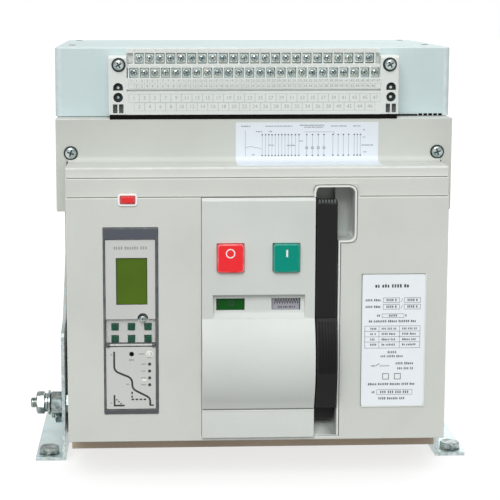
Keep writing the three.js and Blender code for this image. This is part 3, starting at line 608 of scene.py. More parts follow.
def to_piece(name, bm, finish, body=FIXED_BODY, node=None, slot=None, outward=True):
    """Places a solid built in millimetres as a smooth-shaded piece that rides on a body."""
    if outward:
        bmesh.ops.recalc_face_normals(bm, faces=bm.faces)
    bmesh.ops.transform(bm, matrix=TO_ROW, verts=bm.verts)
    for face in bm.faces:
        face.smooth = True
    piece = plain_object(name, bm)
    piece.data.set_sharp_from_angle(angle=math.radians(SHARP_ANGLE))
    piece.data.materials.append(FINISHES[finish])
    weighted = piece.modifiers.new("even_shading", "WEIGHTED_NORMAL")
    weighted.keep_sharp = True
    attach(piece, body)
    if node:
        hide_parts(node)
        slot = slot or SLOT_OF[node]
    return piece


def to_pieces(slot, **made):
    """Several fixed pieces, each given as name=(solid, finish)."""
    for name, (bm, finish) in made.items():
        to_piece(name, bm, finish, slot=slot)


def refined(node, finish, width=0.4, angle=30, keep=None, reshape=None, extra=None):
    """A CAD node with rounded edges, which stands for it; extra(bm) may add to it."""
    bm = cad_copy(node)
    if reshape:
        reshape(bm)
    round_edges(bm, width, angle, keep=keep)
    if extra:
        extra(bm)
    return to_piece(node + "_shape", bm, finish, BODY_OF[node], node, outward=False)


# ---------------------------------------------------------------- small repeated shapes


def cross_outline(reach, blade):
    """Outline of an upright cross."""
    far, near = reach, blade
    return [(far, -near), (far, near), (near, near), (near, far), (-near, far), (-near, near), (-far, near),
            (-far, -near), (-near, -near), (-near, -far), (near, -far), (near, -near)]


def cross_screw(radius, height, centre, direction, recess=0.5, turn=20, segments=24, soot=None):
    """Pan head with a cross recess, standing on centre; the solid given for the recess shade gets a dark
    floor in the recess, painted shade where the recess lies in shadow.
    """
    head = bmesh.new()
    profile = [(0, 0), (radius, 0), (radius, height * 0.45), (radius * 0.94, height * 0.7),
               (radius * 0.75, height * 0.93), (radius * 0.4, height), (0, height)]
    add_turned(head, profile, (0, 0, 0), (0, 0, 1), segments)
    cross = cross_outline(radius * recess, radius * 0.13)
    spin = Matrix.Rotation(math.radians(turn), 4, "Z")
    tool = bmesh.new()
    add_prism(tool, "z", cross, (height * 0.35, height + 1))
    bmesh.ops.transform(tool, matrix=spin, verts=tool.verts)
    result = carved(head, tool)
    place = Vector(direction).to_track_quat("Z", "X").to_matrix().to_4x4()
    place = Matrix.Translation(Vector(centre)) @ place
    bmesh.ops.transform(result, matrix=place, verts=result.verts)
    if soot:
        floor = bmesh.new()
        add_prism(floor, "z", cross, (height * 0.3, height * 0.6))
        merged(soot, floor, place @ spin)
        floor.free()
    return result


def hexagon_reach(flats, height, both_ends):
    """Radius rule of a chamfered hexagon: flat sides, cut by a 30 degree cone at its ends."""
    def reach(angle, radius, along):
        side = flats / 2 / math.cos((angle + math.pi / 6) % (math.pi / 3) - math.pi / 6)
        if radius < flats * 0.4:
            return radius
        depth = min(height - along, along) if both_ends else height - along
        return min(side, flats * 0.475 + depth / math.tan(math.radians(30)))
    return reach


def hexagon_profile(height, flats, bore=0.0):
    wide = flats * 0.5
    levels = [0, 0.25, 0.6, 1.1, 1.8, height - 1.8, height - 1.1, height - 0.6, height - 0.25, height]
    inner = [(bore, 0)] if bore else [(0, 0)]
    outer = [(wide, level) for level in levels]
    last = [(bore, height), (bore, 0)] if bore else [(0, height)]
    return inner + outer + last


def add_hexagon(bm, centre, direction, flats, height, bore=0.0, both_ends=False):
    """Chamfered hexagon nut or bolt head, standing on centre."""
    add_turned(bm, hexagon_profile(height, flats, bore), centre, direction, 48,
               hexagon_reach(flats, height, both_ends))


def add_thread(bm, centre, direction, radius, end):
    """Threaded stretch of a bolt, drawn as ring grooves, with a chamfered tip at its end."""
    profile, along, pitch = [(0, 0)], 0, 1.5
    while along < end - 1.6:
        profile += [(radius - 0.55, along), (radius, along + pitch * 0.35),
                    (radius, along + pitch * 0.6)]
        along += pitch
    profile += [(radius - 0.5, along), (radius - 0.3, end - 0.7), (radius - 1.1, end), (0, end)]
    add_turned(bm, profile, centre, direction, 28)


def add_letters(bm, text, x, z, size, y):
    """Raised characters that face the front, centred on a point."""
    curve = bpy.data.curves.new("letters", "FONT")
    curve.body = text
    curve.size = size
    curve.align_x = "CENTER"
    curve.align_y = "CENTER"
    curve.extrude = INK_THICK / 2
    curve.resolution_u = 2
    holder = bpy.data.objects.new("letters", curve)
    bpy.context.scene.collection.objects.link(holder)
    mesh = bpy.data.meshes.new_from_object(holder.evaluated_get(bpy.context.evaluated_depsgraph_get()))
    mesh.transform(Matrix.Translation((x, y, z)) @ Matrix.Rotation(math.pi / 2, 4, "X"))
    bm.from_mesh(mesh)
    bpy.data.meshes.remove(mesh)
    bpy.data.objects.remove(holder)
    bpy.data.curves.remove(curve)


def add_script(bm, x, z, height, y, seed=1):
    """A line of small ink blocks, in groups, that stands for wording between two x values."""
    at, step, width = x[0], seed, height * 0.52
    left_in_word = 2 + seed % 4
    while at + width <= x[1] + 0.01:
        step = (step * 7 + 3) % 11
        top = 0.5 if step % 3 else 0.36
        add_box(bm, (at, at + width * (0.75 + 0.05 * (step % 5))), y, (z - height * 0.4, z + height * top))
        at += width + height * 0.2
        left_in_word -= 1
        if left_in_word == 0:
            at += height * 0.45
            left_in_word = 3 + step % 5


def add_frame(bm, x, z, line, y):
    """Thin rectangular outline."""
    corners = [(x[0], z[0]), (x[1], z[0]), (x[1], z[1]), (x[0], z[1])]
    add_stroke(bm, corners, line, y, closed=True)


def circle(x, z, radius, steps=28):
    turns = [2 * math.pi * i / steps for i in range(steps)]
    return [(x + radius * math.cos(a), z + radius * math.sin(a)) for a in turns]


# ---------------------------------------------------------------- covers


def make_covers():
    refined("front_cover", "cover", 0.7, reshape=crisp_top_edge, extra=fill_slot_corners)
    refined("arc_cover", "arc", 1.2)
    make_hood()
    make_cove()
    make_band_seams()
    refined("mechanism_panel", "panel", 0.5, extra=fill_button_corners)
    make_panel_seam()
    refined("rating_plate", "plate", 0.15)
    soot = bmesh.new()
    for side, sign in (("left", -1), ("right", 1)):
        low, high = limits("cover_screw_" + side)
        x, z = middle_of(low, high)
        middle = (x, limits("arc_cover")[0].y - 0.3, z)
        radius = (high.x - low.x) / 2
        head = cross_screw(radius - 1.1, middle[1] - low.y, middle, (0, -1, 0), 0.6, 18 * sign, soot=soot)
        add_turned(head, [(0, 0), (3, 0), (3, 10), (2, 12), (0, 12)], middle, (0, 1, 0), 16)
        to_piece(f"cover_screw_{side}_head", head, "chrome", node="cover_screw_" + side)
        # A dark ring round each cover screw head: painted shade in the counterbore round the head.
        ring = bmesh.new()
        profile = [(radius - 1.3, 0), (radius, 0), (radius, 0.7), (radius - 0.5, 0.9), (radius - 1.3, 0.5),
                   (radius - 1.3, 0)]
        add_turned(ring, profile, middle, (0, -1, 0), 32)
        to_piece(f"cover_screw_{side}_ring", ring, "dark", slot="black_moulding")
    # Dark cross-shaped floors in the cover screws' recesses: painted shade.
    to_piece("cover_screw_recesses", soot, "soot", slot="zinc_fastener")


BANDS = ((272.7, 4, 2.4), (290, 8, 4.8))  # foot of each band, its depth in the plain shape and drawn
COVE = 6  # radius of the sweep from the arc cover down to the front cover's top


def crisp_top_edge(bm):
    """Makes the cover's bands shallower and narrows the slope above them to a small chamfer."""
    high = limits("front_cover")[1]
    for vertex in bm.verts:
        if abs(vertex.co.y - 8) < 0.1 and abs(vertex.co.z - (high.z - 4)) < 0.1:
            vertex.co.z = high.z - 1.2
        elif abs(vertex.co.y - 12) < 0.1 and abs(vertex.co.z - high.z) < 0.1:
            vertex.co.y = BANDS[1][2] + 1.2
        for foot, plain, drawn in BANDS:
            if abs(vertex.co.y - plain) < 0.1 and vertex.co.z > foot - 0.1:
                vertex.co.y = drawn


def make_cove():
    """Concave sweep between the arc cover's face and the front cover's top."""
    low, high = limits("front_cover")
    face = limits("arc_cover")[0].y
    profile = [(face + 0.1, high.z + 0.02)]
    for i in range(11):
        angle = math.pi / 2 * i / 10
        profile.append((face - COVE * (1 - math.sin(angle)), high.z + COVE * (1 - math.cos(angle)) + 0.02))
    bm = bmesh.new()
    add_prism(bm, "x", profile, (low.x + 0.6, high.x - 0.6))
    to_piece("arc_cover_cove", bm, "arc", slot=SLOT_OF["arc_cover"])


def make_hood():
    """Closed hood with soft corners and a round upper rim."""
    low, high = limits("hood")
    bm = soft_block((low.x, high.x), (low.y, high.y), (low.z, high.z), 2, high.z, (6, 5), 1.3)
    to_piece("hood_shell", bm, "hood", node="hood")


def make_band_seams():
    """Fine dark strips in the inner corners of the cover's stepped bands: painted shade where those corners
    lie in shadow.
    """
    low, high = limits("front_cover")
    well_low, well_high = limits("handle_well")
    reset_low, reset_high = limits("fault_reset_button")
    lower = [(low.x + 1, reset_low.x - 3), (reset_high.x + 3, well_low.x - 2), (well_high.x + 3, high.x - 1)]
    bm = bmesh.new()
    for (z, _, y), spans in zip(BANDS, (lower, [(low.x + 1, high.x - 1)])):
        for span in spans:
            add_box(bm, span, (y - 0.12, y + 0.2), (z + 0.1, z + 0.85))
    to_piece("band_seams", bm, "groove", slot="grey_moulding")


def make_panel_seam():
    """Dark line under the bulge of the mechanism panel, painted shade, with a paler lip below it, a painted
    highlight.
    """
    low, high = limits("mechanism_panel")
    x, face = (low.x + 0.6, high.x - 0.6), low.y + 11
    seam, lip = bmesh.new(), bmesh.new()
    add_box(seam, x, (face - 0.3, face + 0.6), (75.3, 76.4))
    add_box(lip, x, (face - 0.45, face + 0.6), (74.3, 75.3), 0.2)
    to_pieces("grey_moulding", panel_seam=(seam, "groove"), panel_lip=(lip, "rim"))


def fill_corners(bm, corners, radius, y):
    """Rounds square inner corners of an opening; each is (x, z, direction in x, direction in z)."""
    for x, z, dx, dz in corners:
        centre = Vector((x + dx * radius, z + dz * radius))
        arc = []
        for i in range(9):
            angle = math.pi / 2 * i / 8
            arc.append((centre.x - dx * radius * math.cos(angle), centre.y - dz * radius * math.sin(angle)))
        add_prism(bm, "y", [(x, z), *arc], y)
    bmesh.ops.recalc_face_normals(bm, faces=bm.faces)


RECESS_BOTTOM = 230.5  # lower edge of the opening for the finger recess beside the handle


def fill_slot_corners(bm):
    """Rounds the corners of the cover's opening round the handle slot."""
    high = limits("handle_well")[1]
    panel_right = limits("mechanism_panel")[1].x
    top, right = high.z + 0.3, high.x + 0.3
    corners = [(panel_right + 0.3, top, 1, -1), (right, top, -1, -1), (right, RECESS_BOTTOM, -1, 1)]
    fill_corners(bm, corners, 8, (0, 3))


def fill_button_corners(bm):
    """Rounds the corners of the panel's openings round the push buttons."""
    gap = 0.3
    for node in ("off_button", "on_button"):
        low, high = limits(node)
        hidden = BUTTON_FLANGE - gap
        sides = ((low.x + hidden, 1), (high.x - hidden, -1))
        levels = ((low.z + hidden, 1), (high.z - hidden, -1))
        corners = [(x, z, dx, dz) for x, dx in sides for z, dz in levels]
        fill_corners(bm, corners, 3.4, (low.y + 5.5, low.y + 7.5))


def make_slot_rim():
    """Rounded bead round the handle slot and its finger recess, paler than the cover as a painted highlight,
    with a dark line outside it that is painted shade.
    """
    low, high = limits("handle_well")
    slot_left, slot_right, recess_right = low.x, 74.6, high.x - 0.9
    top, recess_bottom, foot = high.z - 0.9, RECESS_BOTTOM + 1.2, low.z + 0.4
    start = limits("mechanism_panel")[1].z + 0.5
    def outline(out):
        return rounded_corners([(slot_left - 0.8 - out, start), (slot_left - 0.8 - out, top + out),
                                (recess_right + out, top + out), (recess_right + out, recess_bottom - out),
                                (slot_right + out, recess_bottom - out)], 7.2 + out)
    bm = bmesh.new()
    add_stroke(bm, outline(0), 1.7, (-0.45, 0.4))
    add_stroke(bm, [(slot_right, recess_bottom + 0.85), (slot_right, foot)], 1.3, (-0.3, 0.4))
    settled(bm)
    round_edges(bm, 0.4, 50, keep=lambda edge: edge.verts[0].co.y + edge.verts[1].co.y < -0.5)
    to_piece("slot_rim", bm, "rim", slot="grey_moulding")
    # A dark line just outside the bead: painted shade.
    seam = bmesh.new()
    add_stroke(seam, outline(1.3)[1:], 0.55, (-0.12, 0.3))
    add_stroke(seam, [(slot_right + 1.2, recess_bottom - 2), (slot_right + 1.2, foot)], 0.5, (-0.12, 0.3))
    to_piece("slot_seam", seam, "groove", slot="grey_moulding")


def make_hood_screws():
    """Four low screws that hold the hood, on its top."""
    low, high = limits("hood")
    template = cross_screw(3.6, 0.5, (0, 0, 0), (0, 0, 1), 0.55)
    bm = bmesh.new()
    for x in (low.x + 13.5, high.x - 13.5):
        for y in (low.y + 62, high.y - 23):
            merged(bm, template, Matrix.Translation((x, y, high.z - 0.05)))
    template.free()
    to_piece("hood_screws", bm, "chute", slot="zinc_fastener")


def make_gap_seal():
    """Ribbed black strip between the arc cover and the terminal block, and a dark strip and five dark boxes
    under the hood's right end: painted shade in the shadowed gap and vent slots.
    """
    low, high = limits("terminal_block")
    bottom, hood_low = limits("arc_cover")[1].z, limits("hood")[0]
    bm = bmesh.new()
    for i in range(3):
        y = low.y + 2.2 + i * 6.4
        add_box(bm, (low.x + 1, high.x - 1), (y, y + 5.8), (bottom + 0.05, low.z - 0.05), 0.3)
    face = limits("arc_cover")[0].y
    add_box(bm, (low.x + 1, high.x - 1), (face - 0.25, low.y + 3), (bottom - 0.9, low.z - 0.05), 0.2)
    add_box(bm, (high.x - 1, high.x + 22), (hood_low.y - 2, hood_low.y - 0.1),
            (bottom + 0.1, hood_low.z + 1.2), 0.2)
    for i in range(5):
        x = high.x + 25 + i * 4.7
        add_box(bm, (x - 1.75, x + 1.75), (hood_low.y - 0.3, hood_low.y + 1),
                (hood_low.z - 0.4, hood_low.z + 1.8))
    to_piece("gap_seal", bm, "seal", slot="black_moulding")


def make_fault_reset():
    refined("fault_reset_button", "reset_red", 0.8)
    low, high = limits("fault_reset_button")
    x, z = middle_of(low, high)
    half_x, half_z = (high.x - low.x) / 2 + 1.4, (high.z - low.z) / 2 + 1.5
    corners = [(x - half_x, z - half_z), (x + half_x, z - half_z), (x + half_x, z + half_z),
               (x - half_x, z + half_z)]
    bm = bmesh.new()
    add_stroke(bm, rounded_corners(corners, 2.2, 5, closed=True), 1.9, (-1.3, 0.2), closed=True)
    settled(bm)
    round_edges(bm, 0.5, 50, keep=lambda edge: edge.verts[0].co.y + edge.verts[1].co.y < -2)
    to_piece("fault_reset_frame", bm, "reset_frame", slot="grey_moulding")


# ---------------------------------------------------------------- terminal block


BLOCK_PITCH = 9.77
LOWER_CELLS, UPPER_CELLS = 24, 23
LABEL_TOP, LEDGE, UPPER_ROW, UPPER_END = 34, 43, 47, 56.6  # levels above the block's underside


def cell_places(count):
    return [(i - (count - 1) / 2) * BLOCK_PITCH for i in range(count)]


def make_terminal_block():
    low, high = limits("terminal_block")
    cap, low_face, high_face = 17, low.y + 9, low.y + 12
    groove = (low.z + 21.7, low.z + 23.3)
    x = (low.x + cap - 0.5, high.x - cap + 0.5)
    label_top, ledge, upper_row, upper_end = (low.z + up for up in (LABEL_TOP, LEDGE, UPPER_ROW, UPPER_END))
    bm = bmesh.new()
    add_box(bm, x, (high_face, high.y), (low.z, high.z), 0.3)
    for front_y, bottom, top, bevel in (
            (low.y, low.z, groove[0], 0.3), (low.y + 2.5, groove[0] - 1, groove[1] + 1, 0),
            (low.y, groove[1], label_top, 0.3), (low_face, label_top - 1, upper_row, 0),
            (low.y + 5, ledge, upper_row, 0.5), (low.y + 8, upper_end, high.z, 0.5)):
        add_box(bm, x, (front_y, high_face + 0.5), (bottom, top), bevel)
    for count, y, z in ((LOWER_CELLS, (low.y + 2.5, low_face + 0.5), (label_top - 0.5, ledge + 0.5)),
                        (UPPER_CELLS, (low.y + 7, high_face + 0.5), (upper_row - 0.5, high.z - 0.1))):
        for wall in cell_places(count + 1):
            add_box(bm, (wall - 0.7, wall + 0.7), y, z, 0.25)
    for left, right in ((low.x, low.x + cap), (high.x - cap, high.x)):
        merged(bm, end_cap(left, right, low, high))
    to_piece("terminal_block_body", bm, "block", node="terminal_block")
    make_block_screws(low, high, low_face, high_face)
    make_block_marks(low, groove)


def end_cap(left, right, low, high):
    """End cap of the block: a screw seat, a half-round and a round pocket, and two slots."""
    front, top = low.y, high.z - 6.4
    side = [(front, low.z), (high.y, low.z), (high.y, top), (front + 2, top), (front, top - 2)]
    cap = bmesh.new()
    add_prism(cap, "x", side, (left, right))
    settled(cap)
    round_edges(cap, 0.7, 20)
    x = math.copysign(127, left)
    tool = bmesh.new()
    half_round = [(x + 4.6 * math.cos(a * math.pi / 10), low.z + 25 + 4.6 * math.sin(a * math.pi / 10))
                  for a in range(11)]
    half_round += [(x - 4.6, low.z + 22.4), (x + 4.6, low.z + 22.4)]
    add_prism(tool, "y", half_round, (front - 1, front + 6))
    add_prism(tool, "y", circle(x, low.z + 16, 4.5), (front - 1, front + 6))
    for slot in (x - 2.8, x + 2.8):
        add_box(tool, (slot - 2.1, slot + 2.1), (front - 1, front + 6), (low.z + 1.4, low.z + 9.8))
    return carved(cap, tool)


def make_block_screws(low, high, low_face, high_face):
    """Clamp plates and cross-head screws of both rows, and the fittings of the end caps."""
    plates, heads, sockets, ends, slots, soot, cross = (bmesh.new() for _ in range(7))
    screw = cross_screw(3.1, 2.0, (0, 0, 0), (0, -1, 0), 0.66, 25, 16, cross)
    rows = ((LOWER_CELLS, low_face, low.z + (LABEL_TOP + LEDGE) / 2),
            (UPPER_CELLS, high_face, low.z + (UPPER_ROW + UPPER_END) / 2))
    for count, face, z in rows:
        for i, x in enumerate(cell_places(count)):
            add_box(plates, (x - 3.9, x + 3.9), (face - 1.6, face + 0.1), (z - 4.4, z + 4.4), 0.5)
            # A dark strip under each clamp plate: painted shade cast by the plate.
            add_box(slots, (x - 3.9, x + 3.9), (face - 0.3, face + 0.05), (z - 4.9, z - 4.3))
            spin = Matrix.Rotation(math.radians(37 * i % 90), 4, "Y")
            for target, source in ((heads, screw), (soot, cross)):
                merged(target, source, Matrix.Translation((x, face - 1.5, z)) @ spin)
    screw.free()
    cross.free()
    for x in (-126.4, 125.4):
        z = low.z + 46.2
        head = cross_screw(5.0, 3.4, (x, low.y - 0.6, z), (0, -1, 0), 0.62, 30, soot=soot)
        merged(ends, head)
        head.free()
        add_turned(sockets, [(0, 0), (6.6, 0), (6.6, 0.5), (5.9, 0.9), (0, 0.9)],
                   (x, low.y + 0.2, z), (0, -1, 0), 28)
    for x in (-127, 127):
        for z in (low.z + 16, low.z + 25):
            add_turned(sockets, [(0, 0), (4.3, 0), (4.3, 2.6), (3.6, 3.2), (2.4, 3.2), (2.0, 2.2), (0, 2.2)],
                       (x, low.y + 5.9, z), (0, -1, 0), 20)
            add_turned(ends, [(0, 0), (1.5, 0), (1.3, 0.8), (0, 0.9)], (x, low.y + 3.7, z), (0, -1, 0), 14)
        for i in range(4):
            for slot in (x - 2.8, x + 2.8):
                z = low.z + 2.6 + i * 2.1
                add_box(slots, (slot - 1.9, slot + 1.9), (low.y + 3.2, low.y + 5.9), (z, z + 1.3))
    # Dark cross-shaped floors in the screw recesses: painted shade.
    to_pieces("zinc_fastener", terminal_clamps=(plates, "clamp"), terminal_screws=(heads, "chrome"),
              block_end_screws=(ends, "chrome"), block_screw_recesses=(soot, "soot"))
    to_pieces("black_moulding", block_sockets=(sockets, "dark"), block_louvres=(slots, "louvre"))


def make_block_marks(low, groove):
    """Numbered cells under the screws, and the two narrow strips above the groove."""
    y = (low.y - INK_THICK, low.y + 0.05)
    lines, numbers, strips = bmesh.new(), bmesh.new(), bmesh.new()
    for row, (count, first, z) in enumerate(((LOWER_CELLS, 1, (low.z + 11.6, low.z + 19.3)),
                                             (UPPER_CELLS, 2, (low.z + 3.6, low.z + 11.2)))):
        for i, x in enumerate(cell_places(count)):
            add_frame(lines, (x - BLOCK_PITCH / 2 + 0.2, x + BLOCK_PITCH / 2 - 0.2), z, 0.28, y)
            add_letters(numbers, str(first + 2 * i), x, (z[0] + z[1]) / 2, 4.9, low.y - 0.02)
            for near in (x - BLOCK_PITCH / 4, x + BLOCK_PITCH / 4):
                add_letters(strips, str(first + 2 * i), near, groove[1] + 7.9 - 4.8 * row, 3.6, low.y - 0.02)
    edges = (cell_places(LOWER_CELLS)[0] - 5, cell_places(LOWER_CELLS)[-1] + 5)
    for z in (groove[1] + 5.3, groove[1] + 1.0):
        add_stroke(lines, [(edges[0], z), (edges[1], z)], 0.25, y)
    for x in cell_places(LOWER_CELLS * 2 + 1):
        add_stroke(lines, [(x / 2, groove[1] + 1.3), (x / 2, groove[1] + 9.6)], 0.25, y)
    # The cell and strip outlines are drawn slightly darker than the block: painted shade in fine grooves.
    to_piece("block_cell_lines", lines, "block_line", slot="terminal_moulding")
    to_pieces("label", block_numbers=(numbers, "ink_pale"), block_strip_numbers=(strips, "ink_faint"))


# ---------------------------------------------------------------- labels


def make_rating_marks():
    """Generic rows, boxes and a table; x is measured from the label's left, z down from its top."""
    low, high = limits("rating_plate")
    y = (low.y - INK_THICK, low.y + 0.05)
    thin, dark = bmesh.new(), bmesh.new()

    def span(left, right):
        return (low.x + left, low.x + right)

    def row(top, bottom):
        return (high.z - bottom, high.z - top)

    add_script(dark, span(12, 45), high.z - 11, 3.4, y, 4)
    for top in (22, 28.2):
        add_script(thin, span(3.3, 18.2), high.z - top - 2.2, 2.3, y, 2)
        add_stroke(thin, [(low.x + 36, high.z - top - 4), (low.x + 37.4, high.z - top - 0.6)], 0.3, y)
        for left in (19.5, 38.9):
            add_frame(thin, span(left, left + 15), row(top, top + 4.4), 0.3, y)
            add_script(thin, span(left + 3, left + 12.5), high.z - top - 2.2, 2.4, y, 6)
    add_frame(thin, span(18.6, 38.9), row(37, 40.5), 0.3, y)
    for x, down, height, seed in (((14, 17.3), 38.7, 2.2, 1), ((25, 33), 38.7, 2.2, 3),
                                  ((40.2, 42.4), 38.7, 2.4, 5), ((6.5, 50.5), 44, 2.4, 8),
                                  ((24.4, 32.3), 73.2, 2.3, 3), ((17.8, 39.8), 77, 2.2, 9),
                                  ((32, 48.5), 83.8, 2.4, 2), ((33.5, 48.5), 88.6, 2.3, 5),
                                  ((6.5, 51), 103.4, 2.3, 7), ((10, 13.5), 111, 2.2, 2),
                                  ((18, 45), 111, 2.7, 5), ((16.5, 41), 117, 2.4, 6)):
        add_script(thin, span(*x), high.z - down, height, y, seed)
    tops, sides = (48.4, 53.3, 58.5, 63.4, 69.1), (2.8, 16, 35, 53.9)
    for top in tops:
        add_stroke(thin, [(low.x + sides[0], high.z - top), (low.x + sides[-1], high.z - top)], 0.3, y)
    for x in sides:
        add_stroke(thin, [(low.x + x, high.z - tops[0]), (low.x + x, high.z - tops[-1])], 0.3, y)
    for line, top in enumerate(tops[:-1]):
        z = high.z - top - 2.6
        add_script(thin, span(8, 14), z, 2.1, y, 3 + line)
        for left in sides[1:-1]:
            add_script(thin, span(left + 2.5, left + 16.5), z, 2.1, y, 5 + line)
    add_frame(thin, span(14.8, 47.6), row(108.6, 113.3), 0.25, y)
    z = high.z - 86
    for points in ([(8.8, 0), (13.5, 0)], [(13.5, 0), (16.8, 2.2)], [(17, 0), (26, 0)],
                   [(11, -0.9), (11, 0.9)]):
        add_stroke(dark, [(low.x + u, z + v) for u, v in points], 0.45, y)
    for left in (20, 31):
        add_frame(dark, span(left, left + 5.5), row(93.4, 98.6), 0.5, y)
    # A dark line along the plate's upper and left edges is painted shade, and a pale line along its lower and
    # right edges is a painted highlight.
    border, shine = bmesh.new(), bmesh.new()
    level = (low.y - 0.1, low.y + 0.4)
    upper_left = [(low.x - 0.2, low.z), (low.x - 0.2, high.z + 0.2), (high.x, high.z + 0.2)]
    lower_right = [(low.x, low.z - 0.5), (high.x + 0.5, low.z - 0.5), (high.x + 0.5, high.z)]
    add_stroke(border, upper_left, 0.45, level)
    add_stroke(shine, lower_right, 0.9, level)
    to_pieces("label", rating_border=(border, "groove"), rating_shine=(shine, "rim"),
              rating_lines=(thin, "ink_soft"), rating_marks=(dark, "ink"))


def make_diagram_label():
    """Generic wiring diagram on the arc cover; x from the label's left, z down from its top."""
    cover_low, cover_high = limits("arc_cover")
    left, right, top, bottom = -17.8, 115.8, cover_high.z - 4, limits("front_cover")[1].z + 0.05
    face = cover_low.y
    radius = COVE - 0.3
    bend = [(face - 0.35 - radius * (1 - math.cos(a)), bottom + 0.3 + radius * (1 - math.sin(a)))
            for a in (i * math.pi / 16 for i in range(9))]
    outer = [(face - 0.35, top), *bend, (12, bottom + 0.3)]
    film = bmesh.new()
    add_prism(film, "x", [*outer, (12, bottom), (face, bottom), (face, top)], (left, right))
    to_piece("diagram_label", film, "label", slot="label")
    y = (face - 0.35 - INK_THICK, face - 0.3)
    ink, soft = bmesh.new(), bmesh.new()
    captions = (((5, 14), 3.6, 1), ((28, 53), 3.6, 5), ((60, 83), 2.8, 3), ((64, 82), 4.6, 8),
                ((89, 104), 3.6, 2), ((110, 117), 3.6, 7), ((19, 25), 8.6, 4), ((31, 34), 8.6, 6),
                ((31, 36), 21.4, 5), ((48, 56), 21.6, 3), ((59, 63), 17.6, 9), ((15, 18.5), 30.4, 2),
                ((119, 122), 7.2, 1), ((119, 122), 14, 4), ((118, 129), 21.6, 6), ((120, 123), 28, 3))
    for x, down, seed in captions:
        add_script(ink, (left + x[0], left + x[1]), top - down, 1.0, y, seed)
    groups = ((24.7, 9, 3.05), (52.3, 3, 3.4), (66.4, 4, 5.4), (91.0, 4, 4.9), (111.0, 3, 2.9))
    high_dot, low_dot = top - 11.6, top - 31
    for start, count, pitch in groups:
        for i in range(count):
            x = left + start + i * pitch
            add_stroke(soft, [(x, high_dot - 1), (x, low_dot + 1)], 0.3, y)
            for z in (high_dot, low_dot):
                add_prism(ink, "y", circle(x, z, 0.75, 8), y)
            if 60 < start < 90:
                add_stroke(ink, circle(x, high_dot - 12.4, 1.1, 10), 0.4, y, closed=True)
    add_stroke(soft, [(left + 9, top - 8), (left + 9, top - 34), (left + 24, top - 34)], 0.3, y)
    add_stroke(soft, [(left + 9, top - 24), (left + 13, top - 22.5), (left + 24, top - 24.5)], 0.4, y)
    add_stroke(soft, [(left + 64, top - 9), (left + 92, top - 9), (left + 92, high_dot)], 0.3, y)
    to_pieces("label", diagram_marks=(ink, "ink_soft"), diagram_lines=(soft, "ink_faint"))


# ---------------------------------------------------------------- operating panel


BUTTON_FLANGE = 1.5  # how far a button's hidden flange reaches past its cap


def make_buttons():
    for node, finish in (("off_button", "red"), ("on_button", "green")):
        low, high = limits(node)
        to_piece(node + "_cap", button_cap(low, high), finish, BODY_OF[node], node)
        x, z, y = (low.x + high.x) / 2, high.z - 11.2, (low.y - 0.15, low.y + 0.1)
        bm = bmesh.new()
        if node == "off_button":
            add_stroke(bm, circle(x - 0.2, z + 1.2, 3.8, 36), 1.0, y, closed=True)
        else:
            add_stroke(bm, [(x + 0.3, z - 2.3), (x + 0.3, z + 4.3)], 1.7, y)
        to_piece(node + "_symbol", bm, "ink_white", BODY_OF[node], slot=SLOT_OF[node])


def button_cap(low, high):
    """Square push button with soft corners, its retaining flange and its stem."""
    flange, inside = BUTTON_FLANGE, low.y + 8.5
    bm = soft_block((low.x + flange, high.x - flange), (low.y, inside), (low.z + flange, high.z - flange),
                    1, low.y, (3.2, 5), 1.3)
    add_box(bm, (low.x, high.x), (inside, inside + 1.8), (low.z, high.z), 0.3)
    x, z = middle_of(low, high)
    stem = high.y - (inside + 1.7)
    profile = [(0, 0), (5, 0), (5, stem - 0.6), (4.4, stem), (0, stem)]
    add_turned(bm, profile, (x, inside + 1.7, z), (0, 1, 0), 24)
    return bm


def make_flags():
    """Each flag's upper half shows at rest and its lower half when it has slid up."""
    for node, upper, lower in (("contact_indicator", "flag_green", "flag_red"),
                               ("charge_indicator", "flag_grey", "flag_grey")):
        refined(node, upper, 0.3)
        low, high = limits(node)
        body, y = BODY_OF[node], (low.y - 0.25, low.y + 0.1)
        middle, mark = (low.x + high.x) / 2, (low.y - 0.25 - INK_THICK, low.y - 0.2)
        plate = bmesh.new()
        add_box(plate, (low.x + 0.6, high.x - 0.6), y, (low.z + 0.6, low.z + 12.4), 0.1)
        to_piece(node + "_lower_face", plate, lower, body, slot=SLOT_OF[node])
        face = (low.y - INK_THICK, low.y + 0.05)
        upper_z, lower_z = high.z - 7, low.z + 6.6
        symbols = bmesh.new()
        if node == "contact_indicator":
            add_stroke(symbols, circle(middle + 1, upper_z + 0.6, 2.3, 24), 0.8, face, closed=True)
            add_stroke(symbols, [(middle, lower_z - 2.4), (middle, lower_z + 2.4)], 1.2, mark)
        else:
            add_spring_symbol(symbols, middle + 0.5, upper_z + 2.0, 21.5, face)
            add_spring_symbol(symbols, middle + 0.5, lower_z + 2.0, 11, mark)
            add_script(symbols, (middle - 7, middle + 9), upper_z - 3.4, 1.9, face, 5)
        to_piece(node + "_symbols", symbols, "ink", body, slot=SLOT_OF[node])


def add_spring_symbol(bm, x, z, length, y):
    """Zigzag that stands for a spring."""
    turns = 9
    points = []
    for i in range(turns * 2 + 1):
        points.append((x - length / 2 + length * i / (turns * 2), z + (2.4 if i % 2 else -2.0)))
    add_stroke(bm, points, 0.95, y)


